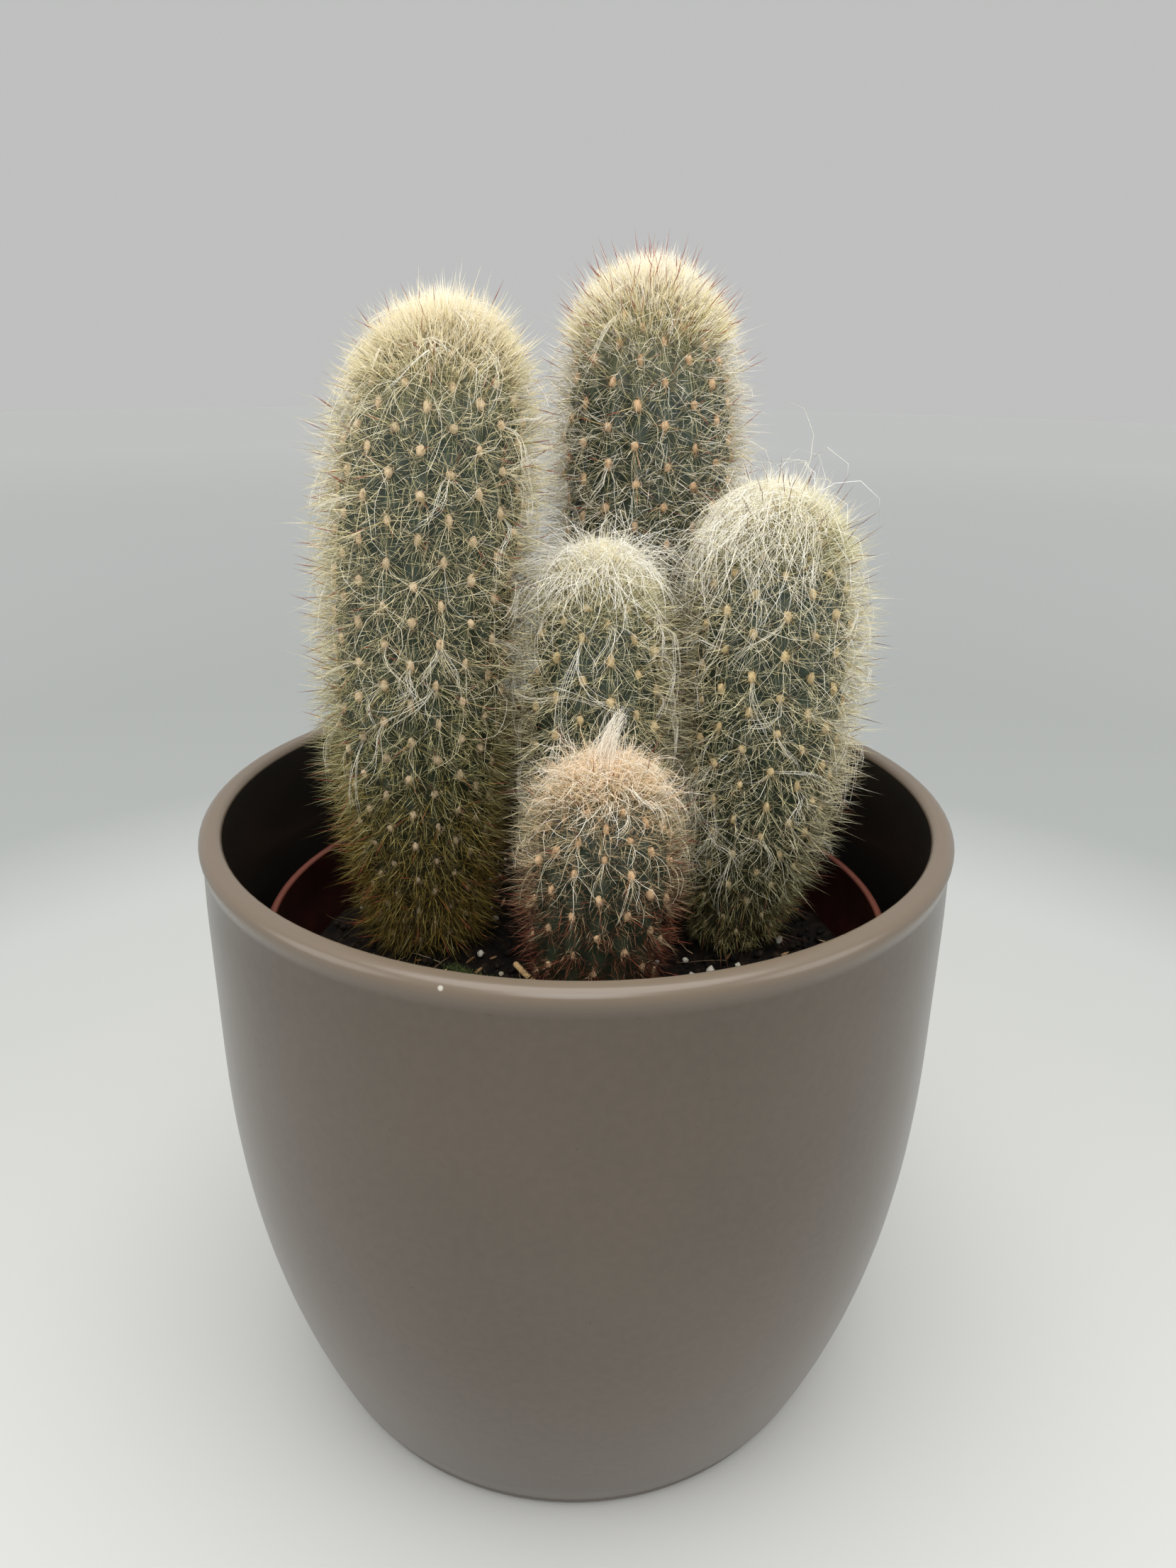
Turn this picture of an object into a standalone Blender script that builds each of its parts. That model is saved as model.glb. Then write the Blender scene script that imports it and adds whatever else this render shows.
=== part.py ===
"""Potted woolly column cactus: five ribbed, spiny stems with woolly crowns stand in a thin
nursery pot of soil, inside a glazed cover pot.

Metres, +Z up. The origin lies under the centre of the cover pot, on the surface it stands on,
and -Y is the front. Run with blender --background --python part.py, or from the text editor.
"""

import math
import random

import bmesh
import bpy
from mathutils import Matrix, Vector

SEED = 20
MERGE = 0.00001
GAP = 0.0003  # clearance between pieces that touch
CHORD = 0.00025  # the flats of a many-sided ring lie up to this far inside its circle
PAST = 0.002  # how far a cutter runs past what it cuts

# Cover pot: glazed, with a round belly, a beaded lip and a foot ring
COVER_HEIGHT = 0.124
COVER_RADIUS = 0.070
COVER_WALL = 0.0041
COVER_FLOOR = 0.0065
COVER_COVE = 0.006  # width of the sloped corner between its floor and its wall
COVER_STEPS = 44
BELLY_RADIUS = 0.0697
BELLY_HEIGHT = 0.085  # from here up the wall is upright
BELLY_POWER = 2.3
BELLY_OUTER = (BELLY_HEIGHT, 0.060, 0.040, 0.024, 0.011)  # heights of the profile's points
BELLY_INNER = (0.011, 0.030, 0.055, BELLY_HEIGHT)
FOOT_RADIUS = 0.0536  # where the wall's curve would meet the ground
FOOT_ROUND = 0.0024
FOOT_CENTRE = 0.0517  # radius at which the round under the wall has its centre
FOOT_RING_WIDTH = 0.0065
FOOT_RECESS = 0.0012  # depth of the recess inside the ring, and width of its slope
LIP_HEIGHT = 0.0048
LIP_NECK = 0.0693  # radius of the crease under the lip
LIP_OUTER_ROUND = 0.0019
LIP_INNER_ROUND = 0.0012

# Nursery pot: thin, tapered, with a deeper band at its rim and drain holes
NURSERY_TOP = 0.101
NURSERY_RADIUS = 0.0605
NURSERY_WALL = 0.0012
NURSERY_BAND_HEIGHT = 0.010
NURSERY_BAND_STEP = 0.0011
NURSERY_BAND_WALL = 0.0015
NURSERY_RIM_ROUND = 0.0007
NURSERY_SLOPE = 0.001  # half the height over which the inside widens into the band
NURSERY_BASE_RADIUS = 0.0430
NURSERY_STEPS = 36
DRAIN_HOLES = 5
DRAIN_RADIUS = 0.004
DRAIN_CIRCLE = 0.029

# Soil: an uneven top with crumbs of perlite and bark sunk into it
SOIL_TOP = 0.0875
SOIL_RELIEF = 0.0009
SOIL_STEPS = 32
SOIL_RINGS = 5
CRUMBS = 15
CRUMB_RADIUS = (0.0011, 0.0019)
CRUMB_ROOM = 0.002  # least room from a crumb's middle to a stem or the straw
CRUMB_EDGE = 0.005  # and to the pot's wall
CRUMB_RISE = 0.0002  # a crumb's middle lies this far above the soil

# Straw: a cut stalk lying on the soil beside the front stem
STRAW_RADIUS = 0.0006
STRAW_LENGTH = 0.012
STRAW_MIDDLE = (-0.0091, -0.0070)
STRAW_BEARING = math.radians(-58)

# Stems: the part in the soil is a plain round stub
STUB_DEPTH = 0.016
STUB_SHARE = 0.92  # of the stem's radius at the soil
NORMAL_STEP = 0.0002  # heights this far apart give the surface's slope
RIB_DEPTH = 0.0011
TUBERCLE_DEPTH = 0.0006
DOME_POWER = 2.3
DOME_ROWS = 4
DOME_CENTRE = 0.6  # the dome is taken as round about a point this share of a radius down
SPINE_RADIUS = 0.00046
SPINE_ROOT = 0.0016  # how far a spine is sunk into the flesh
SPINE_RISE = 0.0013  # a spine stands this far above the tip of its tubercle
SPINE_ASIDE = 0.0008  # and this far beside the rib's crest
SPINE_LENGTH = (0.0050, 0.0068)
SPINE_LEAN = (0.05, 0.4)  # sideways share of a spine's direction
SPINE_LIFT = (-0.15, 0.5)  # upward share of it
DOME_LIFT = -0.25  # the same on the dome, where spines lie lower
SPINE_KINDS = 5  # lengths that the needles come in
SPINE_LEAST = 0.0025
SPINE_SHORTER = 0.85
TWINS = 0.6  # share of the areoles with a second spine, across the crest from the first
CLEAR = 0.0009  # least room between a spine and anything else
SPINE_FLOOR = SOIL_TOP + 0.0028  # no spine reaches lower than this
STEM_FLARE = 0.0008  # height over which the stub widens to the stem's foot

# Crowns: the top of each dome is wool, with bristles that stand out of it
CROWN_SHARE = 0.42  # of the way down the dome, as a tilt
CROWN_BRISTLES = 28
BRISTLE_SHARE = (0.85, 1.0)  # lengths, of the stem's own bristle length
BRISTLE_LIFT = 0.9  # upward share of a bristle's direction
CROWN_SPREAD = 0.3  # by how much of their length the outermost bristles are shorter

# One entry a stem: base (x, y), lean and bow of its axis across x, height above the soil, body
# radius, the radius at the soil as a share of that, the height share where it is full,
# the dome's height, ribs, rows of areoles below the dome, and the bristles' length.
STEMS = {
    "left": dict(
        base=(-0.0319, 0.0119), lean=-0.0022, bow=0.0100, height=0.1205, radius=0.0165,
        foot=0.54, full=0.65, dome=0.033, ribs=20, rows=13, bristle=0.0078,
    ),
    "back": dict(
        base=(0.0130, 0.0375), lean=0.0010, bow=-0.0014, height=0.1270, radius=0.0163,
        foot=0.60, full=0.60, dome=0.034, ribs=18, rows=13, bristle=0.0082,
    ),
    "right": dict(
        base=(0.0325, 0.0135), lean=0.0131, bow=-0.0090, height=0.0895, radius=0.0142,
        foot=0.55, full=0.62, dome=0.028, ribs=16, rows=9, bristle=0.0090,
    ),
    "middle": dict(
        base=(0.0028, 0.0085), lean=0.0010, bow=-0.0005, height=0.0790, radius=0.0119,
        foot=0.66, full=0.55, dome=0.024, ribs=14, rows=8, bristle=0.0100,
    ),
    "front": dict(
        base=(0.0030, -0.0185), lean=0.0034, bow=-0.0010, height=0.0480, radius=0.0121,
        foot=0.68, full=0.50, dome=0.020, ribs=16, rows=4, bristle=0.0100,
    ),
}

COLOURS = {  # base colour, roughness, metallic
    "cover_pot": ((0.20, 0.165, 0.140), 0.30, 0.0),
    "nursery_pot": ((0.18, 0.045, 0.030), 0.45, 0.0),
    "soil": ((0.022, 0.017, 0.012), 0.95, 0.0),
    "straw": ((0.42, 0.27, 0.13), 0.75, 0.0),
    "stem": ((0.34, 0.33, 0.20), 0.70, 0.0),
}


def clear_scene():
    for obj in list(bpy.data.objects):
        bpy.data.objects.remove(obj, do_unlink=True)


def collection(name):
    made = bpy.data.collections.new(name)
    bpy.context.scene.collection.children.link(made)
    return made


def material(name):
    colour, roughness, metallic = COLOURS[name]
    made = bpy.data.materials.new(name)
    made.use_nodes = True
    shader = made.node_tree.nodes["Principled BSDF"]
    shader.inputs["Base Color"].default_value = (*colour, 1.0)
    shader.inputs["Roughness"].default_value = roughness
    shader.inputs["Metallic"].default_value = metallic
    return made


def add_object(name, mesh, home, finish=None):
    obj = bpy.data.objects.new(name, mesh)
    home.objects.link(obj)
    if finish:
        mesh.materials.append(finish)
    return obj


def arc(centre, radius, start, end, steps):
    """Points of a round stretch in a profile, from one angle to another, in degrees."""
    angles = (math.radians(start + (end - start) * k / steps) for k in range(steps + 1))
    return [(centre[0] + radius * math.cos(a), centre[1] + radius * math.sin(a)) for a in angles]


def turned(name, profile, steps, home, finish):
    """A profile of (radius, height) points turned about Z with a Screw modifier."""
    mesh = bpy.data.meshes.new(name)
    points = [(r, 0.0, z) for r, z in profile]
    mesh.from_pydata(points, [(k, k + 1) for k in range(len(points) - 1)], [])
    obj = add_object(name, mesh, home, finish)
    screw = obj.modifiers.new("turn", "SCREW")
    screw.axis = "Z"
    screw.steps = steps
    screw.render_steps = steps
    screw.use_merge_vertices = True
    screw.merge_threshold = MERGE
    screw.use_smooth_shade = True
    return obj


def skin(name, segments, rows, place, home, finish):
    """A closed skin of rings: a UV sphere whose vertices place(row, turn) moves to where they lie.

    Row 0 is the pole on top and row `rows` the pole below. turn is from 0 to 1 round the axis.
    """
    shape = bmesh.new()
    bmesh.ops.create_uvsphere(shape, u_segments=segments, v_segments=rows, radius=1.0)
    for vert in shape.verts:
        row = round(math.acos(max(-1.0, min(1.0, vert.co.z))) / math.pi * rows)
        turn = round(math.atan2(vert.co.y, vert.co.x) / (2 * math.pi) * segments) % segments
        vert.co = place(row, turn / segments)
    bmesh.ops.recalc_face_normals(shape, faces=shape.faces)
    mesh = bpy.data.meshes.new(name)
    shape.to_mesh(mesh)
    shape.free()
    return add_object(name, mesh, home, finish)


def apply_modifiers(obj):
    graph = bpy.context.evaluated_depsgraph_get()
    made = bpy.data.meshes.new_from_object(obj.evaluated_get(graph), depsgraph=graph)
    obj.modifiers.clear()
    obj.data = made


def boolean(obj, operation, home, solver="EXACT"):
    """One Boolean of obj with everything in a collection, applied; the collection is emptied."""
    modifier = obj.modifiers.new(operation.lower(), "BOOLEAN")
    modifier.operation = operation
    modifier.operand_type = "COLLECTION"
    modifier.collection = home
    modifier.solver = solver
    bpy.context.view_layer.update()
    apply_modifiers(obj)
    for piece in list(home.objects):
        bpy.data.objects.remove(piece, do_unlink=True)


def cylinder(name, radius, low, high, at, home, sides=20):
    shape = bmesh.new()
    bmesh.ops.create_cone(
        shape, cap_ends=True, segments=sides, radius1=radius, radius2=radius, depth=high - low
    )
    mesh = bpy.data.meshes.new(name)
    shape.to_mesh(mesh)
    shape.free()
    obj = add_object(name, mesh, home)
    obj.location = (at[0], at[1], (low + high) / 2)
    return obj


def belly(height, inset=0.0):
    """Radius of the cover pot's wall at a height."""
    rise = min(1.0, height / BELLY_HEIGHT)
    return FOOT_RADIUS + (BELLY_RADIUS - FOOT_RADIUS) * (1 - (1 - rise) ** BELLY_POWER) - inset


def cover_pot(home):
    inner = COVER_RADIUS - COVER_WALL + LIP_INNER_ROUND
    outer = COVER_RADIUS - LIP_OUTER_ROUND
    ring = FOOT_CENTRE - FOOT_RING_WIDTH
    profile = [(0.0, COVER_FLOOR), (belly(COVER_FLOOR, COVER_WALL) - COVER_COVE, COVER_FLOOR)]
    profile += [(belly(z, COVER_WALL), z) for z in BELLY_INNER]
    profile += arc((inner, COVER_HEIGHT - LIP_INNER_ROUND), LIP_INNER_ROUND, 180, 90, 2)
    profile += arc((outer, COVER_HEIGHT - LIP_OUTER_ROUND), LIP_OUTER_ROUND, 90, 0, 3)
    profile += [(LIP_NECK, COVER_HEIGHT - LIP_HEIGHT)]
    profile += [(belly(z), z) for z in BELLY_OUTER]
    profile += arc((FOOT_CENTRE, FOOT_ROUND), FOOT_ROUND, 0, -90, 3)
    profile += [(ring, 0.0), (ring - FOOT_RECESS, FOOT_RECESS), (0.0, FOOT_RECESS)]
    return turned("cover_pot", profile, COVER_STEPS, home, material("cover_pot"))


def nursery_wall(height):
    """Outer radius of the nursery pot's tapered wall below its band."""
    bottom = COVER_FLOOR + GAP
    share = (height - bottom) / (NURSERY_TOP - NURSERY_BAND_HEIGHT - bottom)
    top = NURSERY_RADIUS - NURSERY_BAND_STEP
    return NURSERY_BASE_RADIUS + (top - NURSERY_BASE_RADIUS) * share


def nursery_inside(height):
    """Inner radius of the nursery pot at a height above its floor."""
    if height > NURSERY_TOP - NURSERY_BAND_HEIGHT:
        return NURSERY_RADIUS - NURSERY_BAND_WALL
    return nursery_wall(height) - NURSERY_WALL


def nursery_pot(home, cutters):
    bottom = COVER_FLOOR + GAP
    floor = bottom + NURSERY_WALL
    band = NURSERY_TOP - NURSERY_BAND_HEIGHT
    inner_top = NURSERY_RADIUS - NURSERY_BAND_WALL
    rim = NURSERY_TOP - NURSERY_RIM_ROUND
    profile = [(0.0, floor), (nursery_inside(floor), floor)]
    profile += [(nursery_inside(band - NURSERY_SLOPE), band - NURSERY_SLOPE)]
    profile += [(inner_top, band + NURSERY_SLOPE), (inner_top, rim)]
    profile += arc((NURSERY_RADIUS - NURSERY_RIM_ROUND, rim), NURSERY_RIM_ROUND, 90, 0, 2)
    profile += [(NURSERY_RADIUS, band), (nursery_wall(band), band), (nursery_wall(bottom), bottom)]
    profile += [(0.0, bottom)]
    pot = turned("nursery_pot", profile, NURSERY_STEPS, home, material("nursery_pot"))
    for k in range(DRAIN_HOLES):
        turn = 2 * math.pi * k / DRAIN_HOLES
        at = (DRAIN_CIRCLE * math.cos(turn), DRAIN_CIRCLE * math.sin(turn))
        cylinder(f"drain_{k}", DRAIN_RADIUS, bottom - PAST, floor + PAST, at, cutters, sides=10)
    apply_modifiers(pot)
    boolean(pot, "DIFFERENCE", cutters)
    return pot


def soil_height(x, y):
    """Height of the soil's uneven top: its highest spots reach SOIL_TOP."""
    waves = math.sin(x * 190 + 0.7) * math.cos(y * 170 - 0.4) + 0.6 * math.sin((x + y) * 330)
    return SOIL_TOP - SOIL_RELIEF * (1.6 - waves)


def soil_edge(height):
    """Radius of the soil at a height, just clear of the nursery pot's wall."""
    return nursery_inside(height) - GAP - CHORD


def soil(home, cutters, crumbs):
    floor = COVER_FLOOR + GAP + NURSERY_WALL + GAP

    def place(row, turn):
        angle = 2 * math.pi * turn
        if row > SOIL_RINGS:
            radius = soil_edge(floor) if row == SOIL_RINGS + 1 else 0.0
            return Vector((radius * math.cos(angle), radius * math.sin(angle), floor))
        radius = soil_edge(SOIL_TOP) * row / SOIL_RINGS
        height = soil_height(radius * math.cos(angle), radius * math.sin(angle))
        radius = soil_edge(height) * row / SOIL_RINGS
        return Vector((radius * math.cos(angle), radius * math.sin(angle), height))

    ground = skin("soil", SOIL_STEPS, SOIL_RINGS + 2, place, home, material("soil"))
    add_crumbs(crumbs)
    boolean(ground, "UNION", crumbs)
    for name, stem in STEMS.items():
        radius = stub_radius(stem) + GAP + CHORD
        low = SOIL_TOP - STUB_DEPTH - GAP
        cylinder(f"hole_{name}", radius, low, SOIL_TOP + PAST, stem["base"], cutters)
    boolean(ground, "DIFFERENCE", cutters)
    return ground


def add_crumbs(home):
    """Crumbs half sunk in the soil, clear of the stems, the straw and the pot's wall."""
    draw = random.Random(SEED)
    reach = nursery_inside(SOIL_TOP) - CRUMB_EDGE
    while len(home.objects) < CRUMBS:
        turn = draw.uniform(0, 2 * math.pi)
        out = reach * math.sqrt(draw.random())
        at = Vector((out * math.cos(turn), out * math.sin(turn)))
        nearest = min((at - Vector(stem["base"])).length - stem["radius"] for stem in STEMS.values())
        to_straw = (at - Vector(STRAW_MIDDLE)).length - STRAW_LENGTH / 2
        if min(nearest, to_straw) < CRUMB_ROOM:
            continue
        shape = bmesh.new()
        bmesh.ops.create_icosphere(shape, subdivisions=1, radius=draw.uniform(*CRUMB_RADIUS))
        mesh = bpy.data.meshes.new("crumb")
        shape.to_mesh(mesh)
        shape.free()
        crumb = add_object(f"crumb_{len(home.objects)}", mesh, home)
        crumb.location = (at.x, at.y, soil_height(at.x, at.y) + CRUMB_RISE)
        crumb.rotation_euler = (draw.uniform(0, math.pi), draw.uniform(0, math.pi), 0)
        crumb.scale = (1.0, draw.uniform(0.7, 1.0), draw.uniform(0.6, 0.9))


def straw(home):
    along = Vector((math.cos(STRAW_BEARING), math.sin(STRAW_BEARING)))
    middle = Vector(STRAW_MIDDLE)
    steps = [middle + along * STRAW_LENGTH * k / 8 for k in range(-4, 5)]
    rest = max(soil_height(p.x, p.y) for p in steps) + STRAW_RADIUS + GAP
    stalk = cylinder("straw", STRAW_RADIUS, 0.0, STRAW_LENGTH, middle, home, sides=10)
    stalk.data.materials.append(material("straw"))
    stalk.rotation_euler = (0, math.pi / 2, STRAW_BEARING)
    stalk.location.z = rest
    return stalk


def stub_radius(stem):
    return stem["radius"] * stem["foot"] * STUB_SHARE


def axis_at(stem, height):
    """Point of the stem's axis at a height above the soil."""
    share = max(0.0, height / stem["height"])
    across = stem["lean"] * share + stem["bow"] * share * share
    return Vector((stem["base"][0] + across, stem["base"][1], SOIL_TOP + height))


def body_radius(stem, height):
    """Radius of the stem's smooth body: it swells from its foot and ends in a dome."""
    share = max(0.0, min(1.0, height / stem["height"] / stem["full"]))
    swell = stem["foot"] + (1 - stem["foot"]) * (1 - (1 - share) ** 2)
    climb = max(0.0, (height - stem["height"] + stem["dome"]) / stem["dome"])
    return stem["radius"] * swell * max(0.0, 1 - climb**DOME_POWER) ** (1 / DOME_POWER)


def dome_height(stem, tilt):
    """Height of the dome's surface where it faces tilt (0 level, 1 straight up)."""
    return stem["height"] - stem["dome"] * (1 - math.sin(tilt * math.pi / 2) ** (2 / DOME_POWER))


def row_height(stem, row):
    """Height of a ring of the stem's skin, row 0 being its tip."""
    if row <= DOME_ROWS:
        return dome_height(stem, 1 - row / DOME_ROWS)
    share = (row - DOME_ROWS) / stem["rows"]
    return (stem["height"] - stem["dome"]) * (1 - share)


def surface(stem, height, turn, out=0.0):
    """Point on the smooth body, or a distance outside it along its normal."""
    low = height - NORMAL_STEP
    high = min(height + NORMAL_STEP, stem["height"])
    normal = Vector((high - low, body_radius(stem, low) - body_radius(stem, high))).normalized()
    radius = body_radius(stem, height) + out * normal.x
    angle = 2 * math.pi * turn
    side = Vector((radius * math.cos(angle), radius * math.sin(angle), out * normal.y))
    return axis_at(stem, height) + side


def outward(stem, height, turn):
    """The smooth body's normal."""
    return (surface(stem, height, turn, 1.0) - surface(stem, height, turn)).normalized()


def relief(stem, row, turn):
    """How far the ribs and their tubercles stand out of the smooth body at a ring's vertex."""
    column = round(turn * 2 * stem["ribs"])
    if row < DOME_ROWS - 1 or row > DOME_ROWS + stem["rows"]:
        return 0.0
    if column % 2:
        return -RIB_DEPTH
    return TUBERCLE_DEPTH if is_areole(row, column) else -TUBERCLE_DEPTH


def is_areole(row, column):
    """Areoles sit on every rib in every other row, and in turn on neighbouring ribs."""
    return column % 2 == 0 and (column // 2 + row) % 2 == 0


def stem_body(name, stem, home):
    last = DOME_ROWS + stem["rows"]

    def place(row, turn):
        if row == 0:
            return axis_at(stem, stem["height"])
        if row <= last:
            height = max(row_height(stem, row), STEM_FLARE)
            return surface(stem, height, turn, relief(stem, row, turn))
        angle = 2 * math.pi * turn
        radius = stub_radius(stem) if row <= last + 2 else 0.0
        depth = 0.0 if row == last + 1 else STUB_DEPTH
        centre = axis_at(stem, 0.0)
        side = Vector((radius * math.cos(angle), radius * math.sin(angle), -depth))
        return centre + side

    return skin(f"stem_{name}", 2 * stem["ribs"], last + 3, place, home, material("stem"))


def spine_mesh(length):
    """A three-sided needle from its sunk root at the origin to its tip along +Z."""
    shape = bmesh.new()
    bmesh.ops.create_cone(
        shape, cap_ends=True, segments=3, radius1=SPINE_RADIUS, radius2=0.0, depth=length
    )
    bmesh.ops.translate(shape, verts=shape.verts, vec=(0, 0, length / 2))
    bmesh.ops.remove_doubles(shape, verts=shape.verts, dist=MERGE)
    mesh = bpy.data.meshes.new("spine")
    shape.to_mesh(mesh)
    shape.free()
    return mesh


def distance_to_body(stem, point):
    """Rough distance from a point to a stem's smooth body, negative inside it."""
    height = point.z - SOIL_TOP
    within = max(0.0, min(height, stem["height"] - DOME_CENTRE * stem["radius"]))
    offset = point - axis_at(stem, within)
    if height > within:
        return offset.length - body_radius(stem, within)
    return Vector((offset.x, offset.y)).length - body_radius(stem, within)


def has_room(name, point):
    """Whether a point is nearer to its own stem than to any other, and clear of pot and soil."""
    own = distance_to_body(STEMS[name], point)
    others = (distance_to_body(s, point) for n, s in STEMS.items() if n != name)
    if any(other < own + CLEAR for other in others):
        return False
    out = math.hypot(point.x, point.y)
    if point.z < NURSERY_TOP + CLEAR and out > nursery_inside(min(point.z, NURSERY_TOP)) - CLEAR:
        return False
    return point.z > SPINE_FLOOR


def add_spine(name, root, direction, length, home, kinds):
    """Puts a spine where it fits, shortened if need be, or leaves it out."""
    while not has_room(name, root + direction * length):
        length *= SPINE_SHORTER
        if length < SPINE_LEAST:
            return
    shown = max((known for known in kinds if known <= length), default=min(kinds))
    spine = bpy.data.objects.new(f"spine_{len(home.objects)}", kinds[shown])
    home.objects.link(spine)
    turned_up = direction.to_track_quat("Z", "Y").to_matrix().to_4x4()
    spine.matrix_world = Matrix.Translation(root - direction * SPINE_ROOT) @ turned_up


def spine_kinds(longest):
    """Needle meshes by the length that shows."""
    step = (longest - SPINE_LEAST) / (SPINE_KINDS - 1)
    lengths = [SPINE_LEAST + step * k for k in range(SPINE_KINDS)]
    return {shown: spine_mesh(shown + SPINE_ROOT) for shown in lengths}


def add_spines(name, stem, home, draw):
    """One or two spines on each areole below the crown, one each side of the rib's crest."""
    kinds = spine_kinds(SPINE_LENGTH[1])
    for row in range(DOME_ROWS - 1, DOME_ROWS + stem["rows"]):
        height = max(row_height(stem, row) + SPINE_RISE, SPINE_FLOOR - SOIL_TOP + CLEAR)
        for column in range(0, 2 * stem["ribs"], 2):
            if not is_areole(row, column):
                continue
            first = draw.choice((-1, 1))
            sides = (first, -first) if draw.random() < TWINS else (first,)
            for side in sides:
                aside = side * SPINE_ASIDE / (2 * math.pi * body_radius(stem, height))
                turn = column / (2 * stem["ribs"]) + aside
                direction = spine_direction(stem, row, height, turn, side, draw)
                root = surface(stem, height, turn)
                add_spine(name, root, direction, draw.uniform(*SPINE_LENGTH), home, kinds)


def spine_direction(stem, row, height, turn, side, draw):
    """Outward, leaning to one side, and mostly up, though not on the dome."""
    facing = outward(stem, height, turn)
    around = Vector((-math.sin(2 * math.pi * turn), math.cos(2 * math.pi * turn), 0))
    lean = side * draw.uniform(*SPINE_LEAN)
    lift = draw.uniform(*SPINE_LIFT) if row >= DOME_ROWS else DOME_LIFT
    return (facing + around * lean + Vector((0, 0, lift))).normalized()


def add_bristles(name, stem, home, draw):
    """Bristles of the crown, spread evenly over it by the golden angle."""
    kinds = spine_kinds(stem["bristle"])
    golden = (3 - math.sqrt(5)) / 2
    for k in range(CROWN_BRISTLES):
        spread = math.sqrt((k + 0.5) / CROWN_BRISTLES)
        height = dome_height(stem, 1 - CROWN_SHARE * spread)
        turn = (k * golden) % 1.0
        root = surface(stem, height, turn)
        facing = outward(stem, height, turn)
        direction = (facing + Vector((0, 0, BRISTLE_LIFT))).normalized()
        length = stem["bristle"] * draw.uniform(*BRISTLE_SHARE) * (1 - CROWN_SPREAD * spread)
        add_spine(name, root, direction, length, home, kinds)


def main():
    clear_scene()
    plant = collection("potted_woolly_cactus")
    cutters = collection("cutters")
    repeats = collection("repeats")
    cover_pot(plant)
    nursery_pot(plant, cutters)
    soil(plant, cutters, repeats)
    straw(plant)
    for order, (name, stem) in enumerate(STEMS.items()):
        draw = random.Random(SEED + order)
        body = stem_body(name, stem, plant)
        add_spines(name, stem, repeats, draw)
        add_bristles(name, stem, repeats, draw)
        boolean(body, "UNION", repeats, solver="MANIFOLD")


main()
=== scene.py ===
"""Looks of the potted Peruvian old man cactus.

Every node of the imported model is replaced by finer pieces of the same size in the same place: a
glazed cover pot, a thin nursery pot, crumbly soil with litter, roots and moss on it, a straw, and
five stems with their ribs, areoles, spines, long hairs and crown wool. Spines and hairs are thin
closed meshes that end in a point, which the code below calls strands. Metres, +Z up and -Y the
front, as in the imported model. Colours are 0 to 255 in sRGB, as they look in even light.
"""

import math
from dataclasses import dataclass

import bmesh
import bpy
import numpy as np
from mathutils import Matrix, Vector


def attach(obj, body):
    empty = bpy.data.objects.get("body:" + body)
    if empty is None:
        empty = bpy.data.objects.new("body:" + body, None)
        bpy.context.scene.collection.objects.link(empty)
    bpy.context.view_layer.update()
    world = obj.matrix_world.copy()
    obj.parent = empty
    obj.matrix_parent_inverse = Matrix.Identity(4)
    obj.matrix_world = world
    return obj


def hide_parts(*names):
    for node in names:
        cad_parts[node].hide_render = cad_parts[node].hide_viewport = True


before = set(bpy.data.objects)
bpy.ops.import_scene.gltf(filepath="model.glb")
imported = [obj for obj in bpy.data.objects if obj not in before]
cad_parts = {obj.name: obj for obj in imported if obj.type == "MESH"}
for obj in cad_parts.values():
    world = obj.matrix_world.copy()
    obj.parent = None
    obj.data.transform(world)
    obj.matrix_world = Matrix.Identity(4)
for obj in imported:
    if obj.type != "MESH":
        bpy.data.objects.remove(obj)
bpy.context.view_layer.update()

SEED = 7
MM = 0.001
TURN = 2 * math.pi
UP = np.array([0.0, 0.0, 1.0])

# Cover pot, as in part.py
COVER_HEIGHT = 0.124
COVER_RADIUS = 0.070
COVER_WALL = 0.0041
COVER_FLOOR = 0.0065
COVER_COVE = 0.006
COVER_COVE_TOP = 0.011
COVER_COLUMNS = 112
BELLY_RADIUS = 0.0697
BELLY_HEIGHT = 0.085
BELLY_POWER = 2.3
FOOT_RADIUS = 0.0536
FOOT_ROUND = 0.0024
FOOT_CENTRE = 0.0517
FOOT_RING_WIDTH = 0.0065
FOOT_RECESS = 0.0012
LIP_HEIGHT = 0.0048
LIP_NECK = 0.06945
LIP_FADE = 0.009  # height below the lip over which its neck runs into the wall
LIP_OUTER_ROUND = 0.0019
LIP_INNER_ROUND = 0.0012
CHIP_AT = (-0.0178, -0.0675, 0.1229)  # a chip in the glaze of the lip
CHIP_RADIUS = (0.00025, 0.00050)  # where the chip starts to fade, and where it ends

# Nursery pot, as in part.py
GAP = 0.0003
NURSERY_TOP = 0.101
NURSERY_RADIUS = 0.0605
NURSERY_WALL = 0.0012
NURSERY_BAND_HEIGHT = 0.010
NURSERY_BAND_STEP = 0.0011
NURSERY_BAND_WALL = 0.0015
NURSERY_BAND_EDGE = (0.0002, 0.0004)  # across and up
NURSERY_RIM_ROUND = 0.0007
NURSERY_SLOPE = 0.001
NURSERY_BASE_RADIUS = 0.0430
NURSERY_BASE_EDGE = (0.0005, 0.001)  # across and up
NURSERY_COLUMNS = 120
DRAIN_HOLES = 5
DRAIN_RADIUS = 0.004
DRAIN_CIRCLE = 0.029

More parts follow.
